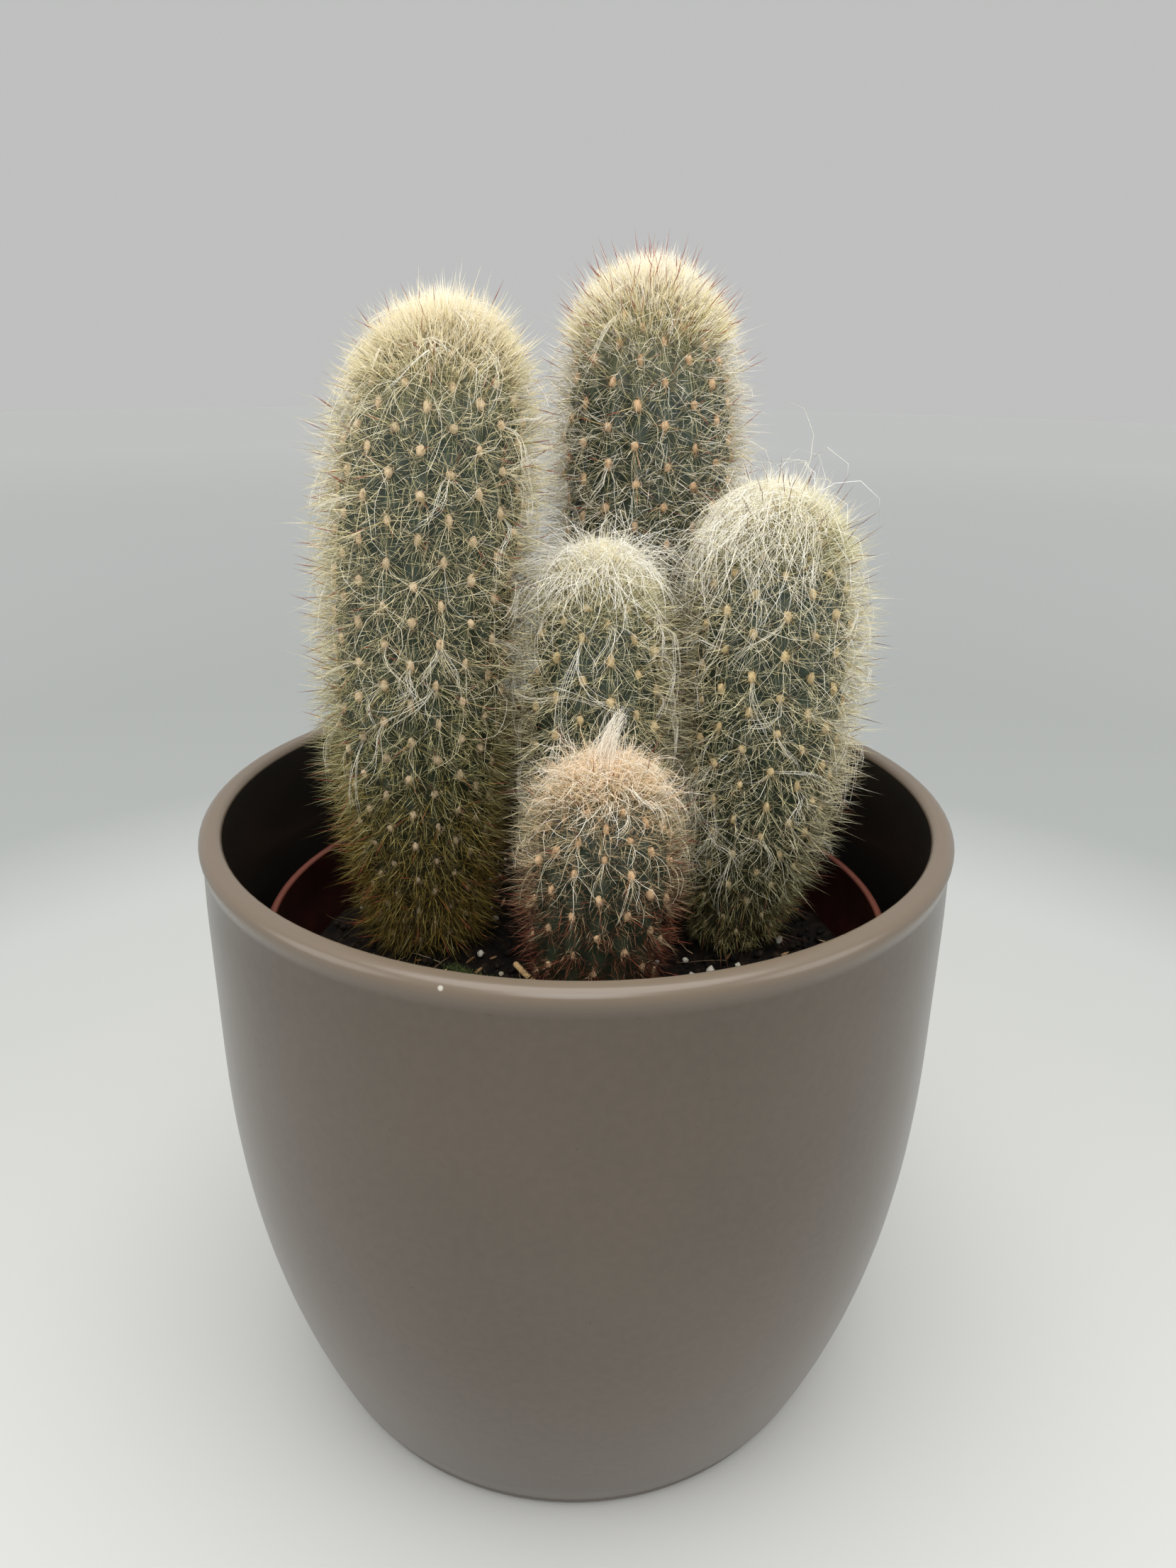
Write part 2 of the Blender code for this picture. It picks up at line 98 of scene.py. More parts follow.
# Soil and straw, as in part.py
SOIL_TOP = 0.0875
SOIL_RELIEF = 0.0009
SOIL_COLUMNS = 150
SOIL_RINGS = 46
SOIL_EDGE = 0.004  # the plain side starts this far down
SOIL_GRAIN = 0.0010
SOIL_RIPPLES = ((0.45, 0.0055), (0.30, 0.0024), (0.25, 0.0013))  # share and wavelength
STRAW_RADIUS = 0.0006
STRAW_LENGTH = 0.012
STRAW_MIDDLE = (-0.0091, -0.0070)
STRAW_BEARING = math.radians(-58)
STRAW_FLAT = (1.06, 0.94)  # its width and height, as shares of its diameter
MOSS_ENDS = ((-0.0247, -0.0024), (-0.0172, -0.0063))
CRUMBS = 850
SMALL_PERLITE = 46
BARK_FLAKES = 110
BARK_SIZE = (1.6, 0.50, 0.22)  # half widths in mm
ROOTLETS = 130
MOSS_STRANDS = 800
BIG_CRUMBS = ((-0.0151, -0.0032), (0.0236, -0.0034), (0.0273, -0.0019), (0.0432, 0.0126))

# Stems, as in part.py
STUB_DEPTH = 0.016
STUB_SHARE = 0.92
DOME_POWER = 2.3
RIB_DEPTH = 0.0012
TUBERCLE_DEPTH = 0.0006

# Areoles: the woolly cushions on the ribs that spines and hairs grow from
AREOLE_PITCH = 0.0075  # along a rib
AREOLE_PITCH_AT_TIP = 0.0022
AREOLE_FULL = 0.020  # distance from the tip where the pitch is full
AREOLE_FIRST = 0.0010
AREOLE_JITTER = 0.00025
AREOLE_SIZE = (0.00080, 0.0012, 0.0010)  # half widths across, along and out of the rib
AREOLE_SEAT = 0.0003  # height of its middle over the smooth body

# Strands
SPINE_RADIUS = 0.000042
HAIR_RADIUS = 0.000050
FELT_RADIUS = 0.00009
FELT_LENGTH = (0.0012, 0.0024)
FELT_HAIRS = 19  # on an areole
CENTRAL_RADIUS = (0.00008, 0.00012)
CENTRAL_LENGTH = (0.0070, 0.0098)
BRISTLE_RADIUS = (0.00007, 0.00010)
BRISTLE_LENGTH = (0.0088, 0.0120)
BRISTLE_REACH = 0.016  # from the tip
ROOT_TINT_END = 0.28  # share of a spine's length where its woolly root colour ends
TIP_TINT = (0.40, 0.65)  # where a dark tip's colour starts, and where it is full
BODY_ROOM = 0.0003  # no strand comes nearer than this to a stem's smooth body
SPINE_ROOM = 0.0004
TIP_CLEAR = 0.0003  # nearest that a strand grows to a stem's tip
WISP_LENGTH = (0.006, 0.016)
WISP_CURL = ((0.1, 0.8), (0.4, 1.2), (0, TURN))  # amplitude, waves and phase
WISP_OUT = (0.0028, 0.0056)  # how far over the body they lie
LOCK_HAIRS = 5
LOCK_CURL = ((0.2, 0.9), (0.5, 1.3), (0, TURN))
LOCK_OUT = (0.0034, 0.0060)
TUFT_TIP = (0.0078, -0.0185, 0.1490)  # where the front stem's pointed tuft ends
TUFT_STRANDS = 130
TUFT_REACH = 0.0030
TUFT_SWELL = (0.0012, 0.0, 0.0)
WOOL_KNOTS = 6

# Camera, solved from the photograph
CAMERA_AT = (0.0037, -0.2088, 0.2119)
CAMERA_PITCH = math.radians(-22.25)
CAMERA_TURN = math.radians(0.48)
CAMERA_ROLL = math.radians(0.67)
CAMERA_LENS = 27.03

# Stage
FLOOR_REACH = 2.5
FLOOR_CORNERS = 128
FLOOR_COLOURS = (  # by distance from the middle
    (0.13, (193, 193, 190)), (0.20, (186, 187, 184)), (0.25, (184, 186, 183)),
    (0.34, (162, 165, 163)), (0.50, (167, 170, 168)), (0.80, (190, 193, 191)),
    (1.45, (229, 230, 229)), (1.75, (242, 243, 242)), (2.15, (247, 248, 247)),
    (2.50, (252, 253, 252)))
LIGHTS = {  # where it is, what it faces, its size and its power
    "top": ((0.0, -0.15, 0.95), (0.0, 0.0, 0.1), 1.1, 8.6),
    "front": ((0.0, -0.85, 0.75), (0.0, 0.0, 0.14), 0.6, 3.0),
    "left": ((-0.9, -0.35, 0.45), (0.0, 0.0, 0.08), 0.7, 2.4),
    "right": ((0.9, -0.35, 0.45), (0.0, 0.0, 0.08), 0.7, 2.4),
}
ROOM_COLOUR = (0.98, 0.99, 0.98, 1.0)  # linear
ROOM_POWER = 0.53

draw = np.random.default_rng(SEED)


@dataclass
class Stem:
    """A stem's shape, as in part.py, and how its spines, hairs and wool grow.

    A place on its smooth body is given by `down`, the distance along the surface from its tip,
    and `turn`, from 0 to 1 round its axis.
    """

    name: str
    base: tuple  # where its axis leaves the soil
    lean: float  # its axis leans this far in x by its tip
    bow: float  # and this much further on a curve
    height: float
    radius: float
    foot: float  # radius at the soil, as a share of the full radius
    full: float  # share of its height from which its radius is full
    dome: float  # height of its rounded top
    ribs: int
    palette: str
    old: float  # height below which its spines are old and brown
    fur: float  # how long its spines are, as a share of the usual
    skirt: float  # how long those at its foot are, as a share of the others
    paler: float  # how much paler its outer fur is
    locks: int  # bundles of long hairs
    wisps: int  # single long hairs
    bristles: int  # long dark bristles on its crown
    wool: int  # strands of crown wool

    def __post_init__(self):
        tilt = np.linspace(1, 0, 120)
        dome = self.height - self.dome * (1 - np.sin(tilt * math.pi / 2) ** (2 / DOME_POWER))
        trunk = np.linspace(self.height - self.dome, -0.003, 160)[1:]
        self.heights = np.concatenate([dome, trunk])
        self.radii = self.radius_at(self.heights)
        self.radii[0] = 0.0
        steps = np.hypot(np.diff(self.heights), np.diff(self.radii))
        self.downs = np.concatenate([[0.0], np.cumsum(steps)])
        self.length = float(np.interp(0.0, -self.heights, self.downs))

    def trunk_radius(self, height):
        """Radius at a height above the soil, if the stem had no dome."""
        share = np.clip(height / self.height / self.full, 0, 1)
        return self.radius * (self.foot + (1 - self.foot) * (1 - (1 - share) ** 2))

    def radius_at(self, height):
        climb = np.clip((height - self.height + self.dome) / self.dome, 0, 1)
        return self.trunk_radius(height) * (1 - climb**DOME_POWER) ** (1 / DOME_POWER)

    def axis_at(self, height):
        """The axis at a height above the soil, as (x, y) of each."""
        share = np.maximum(0, height / self.height)
        across = self.lean * share + self.bow * share**2
        return self.base[0] + across, np.full_like(across, self.base[1])

    def height_at(self, down):
        return np.interp(down, self.downs, self.heights)

    def radius_down(self, down):
        return np.interp(down, self.downs, self.radii)

    def age(self, down):
        """How old the growth is: 0 in the young part, up to 1 at the foot."""
        return np.clip(1 - self.height_at(down) / self.old, 0, 1)

    def hair_share(self):
        """How long its long hairs are, as a share of the usual."""
        return min(1.0, self.height / 0.075)

    def facing(self, down, turn):
        """The smooth body's normal, and its directions round the axis and down the surface."""
        step = 0.0004
        rise = self.height_at(down + step) - self.height_at(down - step)
        widen = self.radius_down(down + step) - self.radius_down(down - step)
        size = np.hypot(rise, widen) + 1e-12
        out, drop = -rise / size, widen / size
        cos, sin = np.cos(TURN * turn), np.sin(TURN * turn)
        normal = np.stack([out * cos, out * sin, drop], -1)
        around = np.stack([-sin, cos, np.zeros_like(sin)], -1)
        along = np.stack([drop * cos, drop * sin, -out], -1)
        return normal, around, along

    def point(self, down, turn, out=0.0):
        """Points a distance outside the smooth body."""
        height = self.height_at(down)
        x, y = self.axis_at(height)
        radius = self.radius_down(down)
        foot = np.stack([x + radius * np.cos(TURN * turn), y + radius * np.sin(TURN * turn),
                         height], -1)
        foot[..., 2] += SOIL_TOP
        return foot + self.facing(down, turn)[0] * np.asarray(out)[..., None]


STEMS = [
    Stem("left", base=(-0.0319, 0.0119), lean=-0.0022, bow=0.0100, height=0.1205, radius=0.0165,
         foot=0.54, full=0.65, dome=0.033, ribs=20, palette="cream", old=0.043, fur=1.0,
         skirt=0.95, paler=0.10, locks=96, wisps=640, bristles=4, wool=600),
    Stem("back", base=(0.0130, 0.0375), lean=0.0010, bow=-0.0014, height=0.1270, radius=0.0163,
         foot=0.60, full=0.60, dome=0.034, ribs=18, palette="yellow", old=0.044, fur=1.0,
         skirt=0.9, paler=0.36, locks=16, wisps=420, bristles=70, wool=500),
    Stem("right", base=(0.0325, 0.0135), lean=0.0131, bow=-0.0090, height=0.0895, radius=0.0142,
         foot=0.55, full=0.62, dome=0.028, ribs=16, palette="white", old=0.022, fur=1.0,
         skirt=0.35, paler=0.16, locks=100, wisps=280, bristles=24, wool=520),
    Stem("middle", base=(0.0028, 0.0085), lean=0.0010, bow=-0.0005, height=0.0790, radius=0.0119,
         foot=0.66, full=0.55, dome=0.024, ribs=14, palette="white", old=0.014, fur=0.95,
         skirt=0.8, paler=0.12, locks=84, wisps=280, bristles=0, wool=620),
    Stem("front", base=(0.0030, -0.0185), lean=0.0034, bow=-0.0010, height=0.0480, radius=0.0121,
         foot=0.68, full=0.50, dome=0.020, ribs=16, palette="orange", old=0.031, fur=0.82,
         skirt=0.30, paler=0.04, locks=20, wisps=300, bristles=8, wool=560),
]


@dataclass
class Fan:
    """How one set of spines stands round each areole."""

    each: int  # spines on an areole
    lift: tuple  # how steeply they stand, in degrees
    length: tuple
    thick: float  # as a share of the usual
    bent: float
    scatter: float  # how far their roots are strewn


NET = Fan(18, (3, 34), (0.0060, 0.0100), thick=0.70, bent=0.17, scatter=0.0005)
UNDER_NET = Fan(14, (4, 40), (0.0046, 0.0080), thick=0.66, bent=0.10, scatter=0.0005)
FUR = Fan(44, (62, 90), (0.0054, 0.0077), thick=1.0, bent=0.30, scatter=0.0021)


@dataclass
class Wool:
    """How a crown's curly wool grows over its fur, which is straight and upright."""

    reach: float  # how far from the tip it grows
    length: tuple
    upright: float  # how much it sets off upwards
    side: tuple  # which way it sets off besides
    fall: float  # how strongly it bends down
    spread: float  # how strongly it bends away from the axis
    curl: float  # how strongly it waves
    lift: float  # how far outside the smooth body it lies
    tone: tuple
    fur: int  # number of hairs in the fur
    fur_reach: float
    fur_length: float  # of the longest
    fur_tone: float  # at the tip


WOOL = {
    "left": Wool(reach=0.010, length=(0.0040, 0.0070), upright=0.4, side=(0, 0, 0), fall=0.3,
                 spread=0.4, curl=1.2, lift=0.001, tone=(0.78, 0.98),
                 fur=2400, fur_reach=0.017, fur_length=0.0064, fur_tone=0.88),
    "back": Wool(reach=0.006, length=(0.0050, 0.0085), upright=0.8, side=(0, 0, 0), fall=0.2,
                 spread=0.2, curl=1.2, lift=0.001, tone=(0.80, 1.0),
                 fur=2600, fur_reach=0.018, fur_length=0.0078, fur_tone=0.90),
    "right": Wool(reach=0.011, length=(0.0120, 0.0270), upright=0.3, side=(-1.3, -0.3, 0),
                  fall=3.2, spread=0.2, curl=2.2, lift=0.0046, tone=(0.90, 1.0),
                  fur=2300, fur_reach=0.016, fur_length=0.0064, fur_tone=0.65),
    "middle": Wool(reach=0.007, length=(0.0110, 0.0220), upright=1.2, side=(-0.2, 0, 0),
                   fall=2.1, spread=2.0, curl=2.4, lift=0.0046, tone=(0.92, 1.0),
                   fur=1600, fur_reach=0.014, fur_length=0.0056, fur_tone=0.68),
    "front": Wool(reach=0.010, length=(0.0060, 0.0125), upright=0.7, side=(0.1, 0, 0), fall=1.0,
                  spread=0.9, curl=2.2, lift=0.0036, tone=(0.80, 1.0),
                  fur=950, fur_reach=0.0085, fur_length=0.0046, fur_tone=0.74),
}
SPINE_COLOURS = {  # old and brown, through khaki and cream, to white
    "cream": ((128, 98, 32), (170, 148, 70), (206, 202, 150), (252, 235, 190), (255, 248, 232)),
    "yellow": ((118, 72, 44), (176, 134, 92), (212, 206, 154), (255, 240, 190), (255, 247, 232)),
    "white": ((112, 92, 46), (174, 164, 104), (216, 214, 176), (255, 240, 188), (255, 253, 246)),
    "orange": ((70, 28, 16), (134, 74, 44), (194, 182, 142), (252, 214, 166), (255, 248, 234)),
}
CENTRAL_COLOURS = {"cream": (140, 60, 40), "yellow": (150, 68, 44), "white": (104, 58, 40),
                   "orange": (122, 50, 30)}
AREOLE_COLOURS = {"cream": (214, 190, 156), "yellow": (208, 174, 136), "white": (212, 188, 142),
                  "orange": (208, 174, 134)}
LOCK_LENGTH = {"cream": (0.008, 0.020), "yellow": (0.008, 0.018), "white": (0.010, 0.028),
               "orange": (0.007, 0.020)}
HAIR_COLOURS = ((222, 210, 174), (244, 236, 212), (255, 253, 246))


# Node materials


def linear(colour):
    """A colour as linear RGBA."""
    shares = [c / 255 for c in colour]
    made = [s / 12.92 if s <= 0.04045 else ((s + 0.055) / 1.055) ** 2.4 for s in shares]
    return (*made, 1.0)


class Look:
    """A node material in the making; what its methods return are sockets."""

    def __init__(self, name, roughness, **sockets):
        self.material = bpy.data.materials.new(name)
        self.material.use_nodes = True
        self.tree = self.material.node_tree
        self.shader = self.tree.nodes["Principled BSDF"].inputs
        self.shader["Roughness"].default_value = roughness
        for socket, value in sockets.items():
            self.shader[socket.replace("_", " ")].default_value = value

    def add(self, kind, inputs, **settings):
        """A new node's outputs; its inputs, by name or number, take sockets or plain values."""
        node = self.tree.nodes.new(kind)
        for key, value in settings.items():
            setattr(node, key, value)
        for key, value in inputs.items():
            if isinstance(value, bpy.types.NodeSocket):
                self.tree.links.new(value, node.inputs[key])
            else:
                node.inputs[key].default_value = value
        return node.outputs

    def attribute(self, name):
        return self.add("ShaderNodeAttribute", {}, attribute_name=name)["Fac"]

    def position(self):
        return self.add("ShaderNodeNewGeometry", {})["Position"]

    def ramp(self, source, stops):
        """A colour ramp on a value, from (place, colour) stops."""
        node = self.tree.nodes.new("ShaderNodeValToRGB")
        elements = node.color_ramp.elements
        elements.remove(elements[-1])
        elements[0].position = stops[0][0]
        elements[0].color = linear(stops[0][1])
        for place, colour in stops[1:]:
            elements.new(place).color = linear(colour)
        self.tree.links.new(source, node.inputs["Fac"])
        return node.outputs["Color"]

    def even_ramp(self, source, colours):
        last = len(colours) - 1
        return self.ramp(source, [(k / last, colour) for k, colour in enumerate(colours)])

    def noise(self, size, detail=3.0, roughness=0.5):
        """Noise with features of about a size."""
        inputs = {"Vector": self.position(), "Scale": 1.0 / size, "Detail": detail,
                  "Roughness": roughness}
        return self.add("ShaderNodeTexNoise", inputs)["Fac"]

    def mix(self, share, first, second):
        """The first colour turned into the second, which is a socket or a plain colour."""
        if not isinstance(second, bpy.types.NodeSocket):
            second = linear(second)
        inputs = {0: share, 6: first, 7: second}  # by number, as their names repeat
        return self.add("ShaderNodeMix", inputs, data_type="RGBA")[2]

    def scaled(self, source, low, high, new_low=0.0, new_high=1.0):
        """A value taken from one range to another, and held at its ends."""
        inputs = dict(enumerate((source, low, high, new_low, new_high)))
        return self.add("ShaderNodeMapRange", inputs)[0]

    def patches(self, size, detail, low, high, most):
        """A share that is 0 where noise is low, up to the most where it is high."""
        return self.scaled(self.noise(size, detail), low, high, 0.0, most)

    def bump(self, size, detail, distance, strength):
        """Noise as fine relief in the shading."""
        inputs = {"Height": self.noise(size, detail), "Distance": distance, "Strength": strength}
        self.tree.links.new(self.add("ShaderNodeBump", inputs)["Normal"], self.shader["Normal"])

    def painted(self, colour):
        """The finished material."""
        self.tree.links.new(colour, self.shader["Base Color"])
        return self.material


def strand_material(name, colours, roughness=0.55, root=None, tip=None):
    """Colour by each strand's tone, and at its ends by a root or tip colour if it has one."""
    look = Look(name, roughness)
    colour = look.even_ramp(look.attribute("tone"), colours)
    if root:
        share = look.scaled(look.attribute("along"), 0.06, ROOT_TINT_END, 0.7, 0.0)
        colour = look.mix(share, colour, root)
    if tip:
        colour = look.mix(look.scaled(look.attribute("along"), *TIP_TINT), colour, tip)
    return look.painted(colour)


# Meshes


def build(name, points, faces, material, values=None, uv=None):
    """A mesh object from points and arrays of polygons, with a number for each point by name."""
    mesh = bpy.data.meshes.new(name)
    corners = np.concatenate([f.ravel() for f in faces]).astype(np.int32)
    sizes = np.concatenate([np.full(len(f), f.shape[1]) for f in faces])
    starts = np.concatenate([[0], np.cumsum(sizes)[:-1]]).astype(np.int32)
    mesh.vertices.add(len(points))
    mesh.vertices.foreach_set("co", np.asarray(points, np.float32).ravel())
    mesh.loops.add(len(corners))
    mesh.loops.foreach_set("vertex_index", corners)
    mesh.polygons.add(len(sizes))
    mesh.polygons.foreach_set("loop_start", starts)
    mesh.update(calc_edges=True)
    for key, numbers in (values or {}).items():
        layer = mesh.attributes.new(key, "FLOAT", "POINT")
        layer.data.foreach_set("value", np.asarray(numbers, np.float32))
    if uv is not None:
        layer = mesh.uv_layers.new(name="OFBake")
        layer.data.foreach_set("uv", np.asarray(uv, np.float32)[corners].ravel())
    mesh.materials.append(material)
    return link(name, mesh)


def link(name, data):
    obj = bpy.data.objects.new(name, data)
    bpy.context.scene.collection.objects.link(obj)
    return obj


def place(obj, slot, *nodes):
    """Puts a finished piece in the frame, in place of the CAD nodes."""
    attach(obj, "root")
    if nodes:
        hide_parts(*nodes)


def unit(vectors):
    return vectors / np.maximum(np.linalg.norm(vectors, axis=-1, keepdims=True), 1e-12)


def level_ring(angle, radius, height, centre=(0.0, 0.0)):
    """Points on a level circle, one for each angle."""
    return np.stack([centre[0] + radius * np.cos(angle), centre[1] + radius * np.sin(angle),
                     np.full(len(angle), height)], -1)


def beside(count):
    """Numbers from 0, and for each of them the next one round a ring."""
    near = np.arange(count)
    return near, (near + 1) % count


def ring_faces(columns, rings):
    """Quads between rings of points, and triangles to the single point at each end."""
    near, far = beside(columns)
    quads = [np.stack([near + a, near + a + columns, far + a + columns, far + a], -1)
             for a in 1 + columns * np.arange(rings - 1)]
    end = 1 + columns * (rings - 1)
    first = np.stack([np.zeros_like(near), 1 + near, 1 + far], -1)
    last = np.stack([np.full_like(near, end + columns), far + end, near + end], -1)
    return [np.concatenate(quads), np.concatenate([first, last])]


def repeated(faces, count, corners):
    """The faces of a thing with so many corners, for a count of such things."""
    starts = np.arange(count)[:, None, None] * corners
    return (faces + starts).reshape(-1, faces.shape[1])


def straight(roots, heading, length, shares=(0.0, 1.0)):
    """Straight paths, with a knot at each share of their length."""
    return roots[:, None] + heading[:, None] * (length[:, None] * np.array(shares))[..., None]


THIRDS = TURN / 3 * np.arange(3)[:, None]
SPINDLE_FACES = np.array([[2, 1, 0], [3, 2, 0], [1, 3, 0], [1, 2, 4], [2, 3, 4], [3, 1, 4]])
SLIVER_FACES = np.array([[0, 1, 2], [0, 3, 1], [0, 2, 3], [1, 3, 2]])
SLIVER_CORNERS = (0.36, 0.58)  # shares of its length


class Strands:
    """Thin closed strands that end in a point, gathered into one mesh.

    Each point has the number "tone", from 0 to 1, and "along", from 0 at its strand's root to 1
    at its tip. The two make the map for baking, so a strand's corners differ a little in tone.
    """

    def __init__(self):
        self.points, self.faces, self.tone, self.along = [], {3: [], 4: []}, [], []
        self.total = 0

    def gather(self, points, faces, tone, spread, along):
        """Adds points (strands, corners, 3), with one strand's faces and a tone for each strand.

        spread is what each corner's tone differs by, and along its place on the strand.
        """
        count, corners = points.shape[:2]
        for pattern in faces:
            made = repeated(pattern, count, corners) + self.total
            self.faces[pattern.shape[1]].append(made)
        self.points.append(points.reshape(-1, 3))
        tones = np.broadcast_to(tone, count)[:, None] + spread
        self.tone.append(np.clip(tones, 0.0, 1.0).ravel())
        self.along.append(np.tile(along, count))
        self.total += count * corners

    def add(self, paths, radius, tone, thin=0.7):
        """Three-sided tubes along paths (strands, knots, 3), thinner by a share at the tip."""
        count, knots = paths.shape[:2]
        tangent = unit(np.gradient(paths, axis=1))
        side = unit(np.cross(tangent, draw.normal(size=(count, 1, 3))))
        other = np.cross(tangent, side)
        rings = side[:, :-1, None] * np.cos(THIRDS) + other[:, :-1, None] * np.sin(THIRDS)
        share = np.arange(knots - 1) / (knots - 1)
        width = np.broadcast_to(radius, count)[:, None] * (1 - thin * share)
        rings = paths[:, :-1, None] + rings * width[..., None, None]
        points = np.concatenate([rings.reshape(count, -1, 3), paths[:, -1:]], axis=1)
        spread = np.append(np.tile([-0.004, 0.0, 0.004], knots - 1), 0.0)
        self.gather(points, self.tube_faces(knots), tone, spread, np.append(share.repeat(3), 1.0))

    def add_spindles(self, roots, middles, tips, radius, tone):
        """Slim spines with a point at each end and three corners in the middle."""
        way = unit(tips - roots)
        side = unit(np.cross(way, draw.normal(size=way.shape)))
        other = np.cross(way, side)
        ring = side[:, None] * np.cos(THIRDS) + other[:, None] * np.sin(THIRDS)
        ring = middles[:, None] + ring * radius[:, None, None]
        points = np.concatenate([roots[:, None], ring, tips[:, None]], axis=1)
        spread = np.array([0.0, -0.006, 0.0, 0.006, 0.0])
        self.gather(points, [SPINDLE_FACES], tone, spread, [0.0, 0.4, 0.4, 0.4, 1.0])

    def add_slivers(self, roots, tips, radius, tone, starts=0.0):
        """Straight spines with a point at each end and one corner on each side.

        starts is the number that "along" has at the root.
        """
        way = tips - roots
        side = unit(np.cross(way, draw.normal(size=way.shape)))
        other = unit(np.cross(way, side))
        wide = 1.7 * radius[:, None]
        near, far = SLIVER_CORNERS
        points = np.stack([roots, roots + near * way + side * wide,
                           roots + far * way + other * wide, tips], axis=1)
        spread = np.array([0.0, -0.006, 0.006, 0.0])
        along = starts + (1 - starts) * np.array([0.0, near, far, 1.0])
        self.gather(points, [SLIVER_FACES], tone, spread, along)

    @staticmethod
    def tube_faces(knots):
        """One tube's quads, and the triangles at its root and tip."""
        near, far = beside(3)
        start = 3 * np.arange(knots - 2)[:, None]
        quads = np.stack([start + near, start + far, start + 3 + far, start + 3 + near], -1)
        last = 3 * (knots - 2)
        tips = np.stack([last + near, last + far, np.full(3, last + 3)], -1)
        return quads.reshape(-1, 4), np.concatenate([tips, [[2, 1, 0]]])

    def finish(self, name, slot, material):
        tone, along = np.concatenate(self.tone), np.concatenate(self.along)
        faces = [np.concatenate(made) for made in self.faces.values() if made]
        uv = np.clip(np.stack([tone, along], -1), 0.002, 0.998)
        obj = build(name, np.concatenate(self.points), faces, material,
                    {"tone": tone, "along": along}, uv)
        place(obj, slot)


# Keeping strands clear


def push_out(stem, points, room):
    """Moves points that lie inside a stem's body, grown by some room, out to its surface."""
    height = points[..., 2] - SOIL_TOP
    x, y = stem.axis_at(height)
    across = np.stack([points[..., 0] - x, points[..., 1] - y], -1)
    climb = np.maximum(0, height - (stem.height - stem.dome))
    girth = stem.trunk_radius(height) + room
    out = np.linalg.norm(across, axis=-1)
    depth = (out / girth) ** DOME_POWER + (climb / (stem.dome + room)) ** DOME_POWER
    depth = np.maximum(depth, 0.02) ** (1 / DOME_POWER)
    growth = np.where(depth < 1, 1 / depth, 1.0)
    moved = points.copy()
    moved[..., 2] += np.where(climb > 0, climb * (growth - 1), 0)
    new_x, new_y = stem.axis_at(moved[..., 2] - SOIL_TOP)
    moved[..., 0] = new_x + across[..., 0] * growth
    moved[..., 1] = new_y + across[..., 1] * growth
    return np.where((depth < 1)[..., None], moved, points)


def keep_clear(own, paths, own_room=BODY_ROOM):
    """Bends paths clear of every stem, the soil and the nursery pot; roots stay where they are."""
    free = paths[:, 1:]
    for stem in STEMS:
        free = push_out(stem, free, own_room if stem is own else BODY_ROOM)
    out = np.linalg.norm(free[..., :2], axis=-1)
    limit = nursery_inside(np.minimum(free[..., 2], NURSERY_TOP)) - BODY_ROOM
    limit = np.where(free[..., 2] < NURSERY_TOP + BODY_ROOM, limit, 1.0)
    free[..., :2] *= np.minimum(1.0, limit / np.maximum(out, MM))[..., None]
    ground = soil_height(free[..., 0], free[..., 1]) + BODY_ROOM
    free[..., 2] = np.maximum(free[..., 2], ground)
    return np.concatenate([paths[:, :1], free], axis=1)


# Pots


def arc(centre, radius, start, end, steps):
    """Points of a round stretch in a profile, from one angle to another, in degrees."""
    angles = np.radians(np.linspace(start, end, steps + 1))
    return [(centre[0] + radius * math.cos(a), centre[1] + radius * math.sin(a)) for a in angles]


def turned(name, profile, columns, material, inside_from):
    """A closed profile of (radius, height) turned about Z; its first and last points are on Z.

    The number "inside" is 1 up to the profile's point inside_from, and 0 past it.
    """
    angle = TURN * np.arange(columns) / columns
    rings = [level_ring(angle, radius, height) for radius, height in profile[1:-1]]
    start, end = ([[0, 0, profile[k][1]]] for k in (0, -1))
    points = np.concatenate([start, *rings, end])
    inside = np.zeros(len(points))
    inside[: 1 + inside_from * columns] = 1.0
    return build(name, points, ring_faces(columns, len(rings)), material, {"inside": inside})


def belly(height, inset=0.0):
    """Radius of the cover pot's wall at a height."""
    rise = min(1.0, height / BELLY_HEIGHT)
    return FOOT_RADIUS + (BELLY_RADIUS - FOOT_RADIUS) * (1 - (1 - rise) ** BELLY_POWER) - inset


def cover_pot():
    """The glazed pot, from its inner floor over the lip to the recess under its foot."""
    inner = COVER_RADIUS - COVER_WALL + LIP_INNER_ROUND
    outer = COVER_RADIUS - LIP_OUTER_ROUND
    foot = FOOT_CENTRE - FOOT_RING_WIDTH
    flat = belly(COVER_FLOOR, COVER_WALL) - COVER_COVE
    profile = [(0.0, COVER_FLOOR), (flat * 0.5, COVER_FLOOR), (flat, COVER_FLOOR)]
    profile += [(belly(z, COVER_WALL), z) for z in np.linspace(COVER_COVE_TOP, BELLY_HEIGHT, 12)]
    profile += [(belly(BELLY_HEIGHT, COVER_WALL), z)
                for z in np.linspace(BELLY_HEIGHT, COVER_HEIGHT - 2 * LIP_INNER_ROUND, 4)[1:]]
    inside = len(profile)
    profile += arc((inner, COVER_HEIGHT - LIP_INNER_ROUND), LIP_INNER_ROUND, 180, 90, 7)
    profile += arc((outer, COVER_HEIGHT - LIP_OUTER_ROUND), LIP_OUTER_ROUND, 90, 0, 9)
    profile += lip_neck()
    profile += [(belly(z), z) for z in np.linspace(BELLY_HEIGHT, FOOT_ROUND * 2, 22)]
    profile += arc((FOOT_CENTRE, FOOT_ROUND), FOOT_ROUND, 0, -90, 7)
    profile += [(foot, 0.0), (foot - FOOT_RECESS, FOOT_RECESS), (0.0, FOOT_RECESS)]
    place(turned("cover_pot_glazed", profile, COVER_COLUMNS, glaze(), inside), "glaze", "cover_pot")


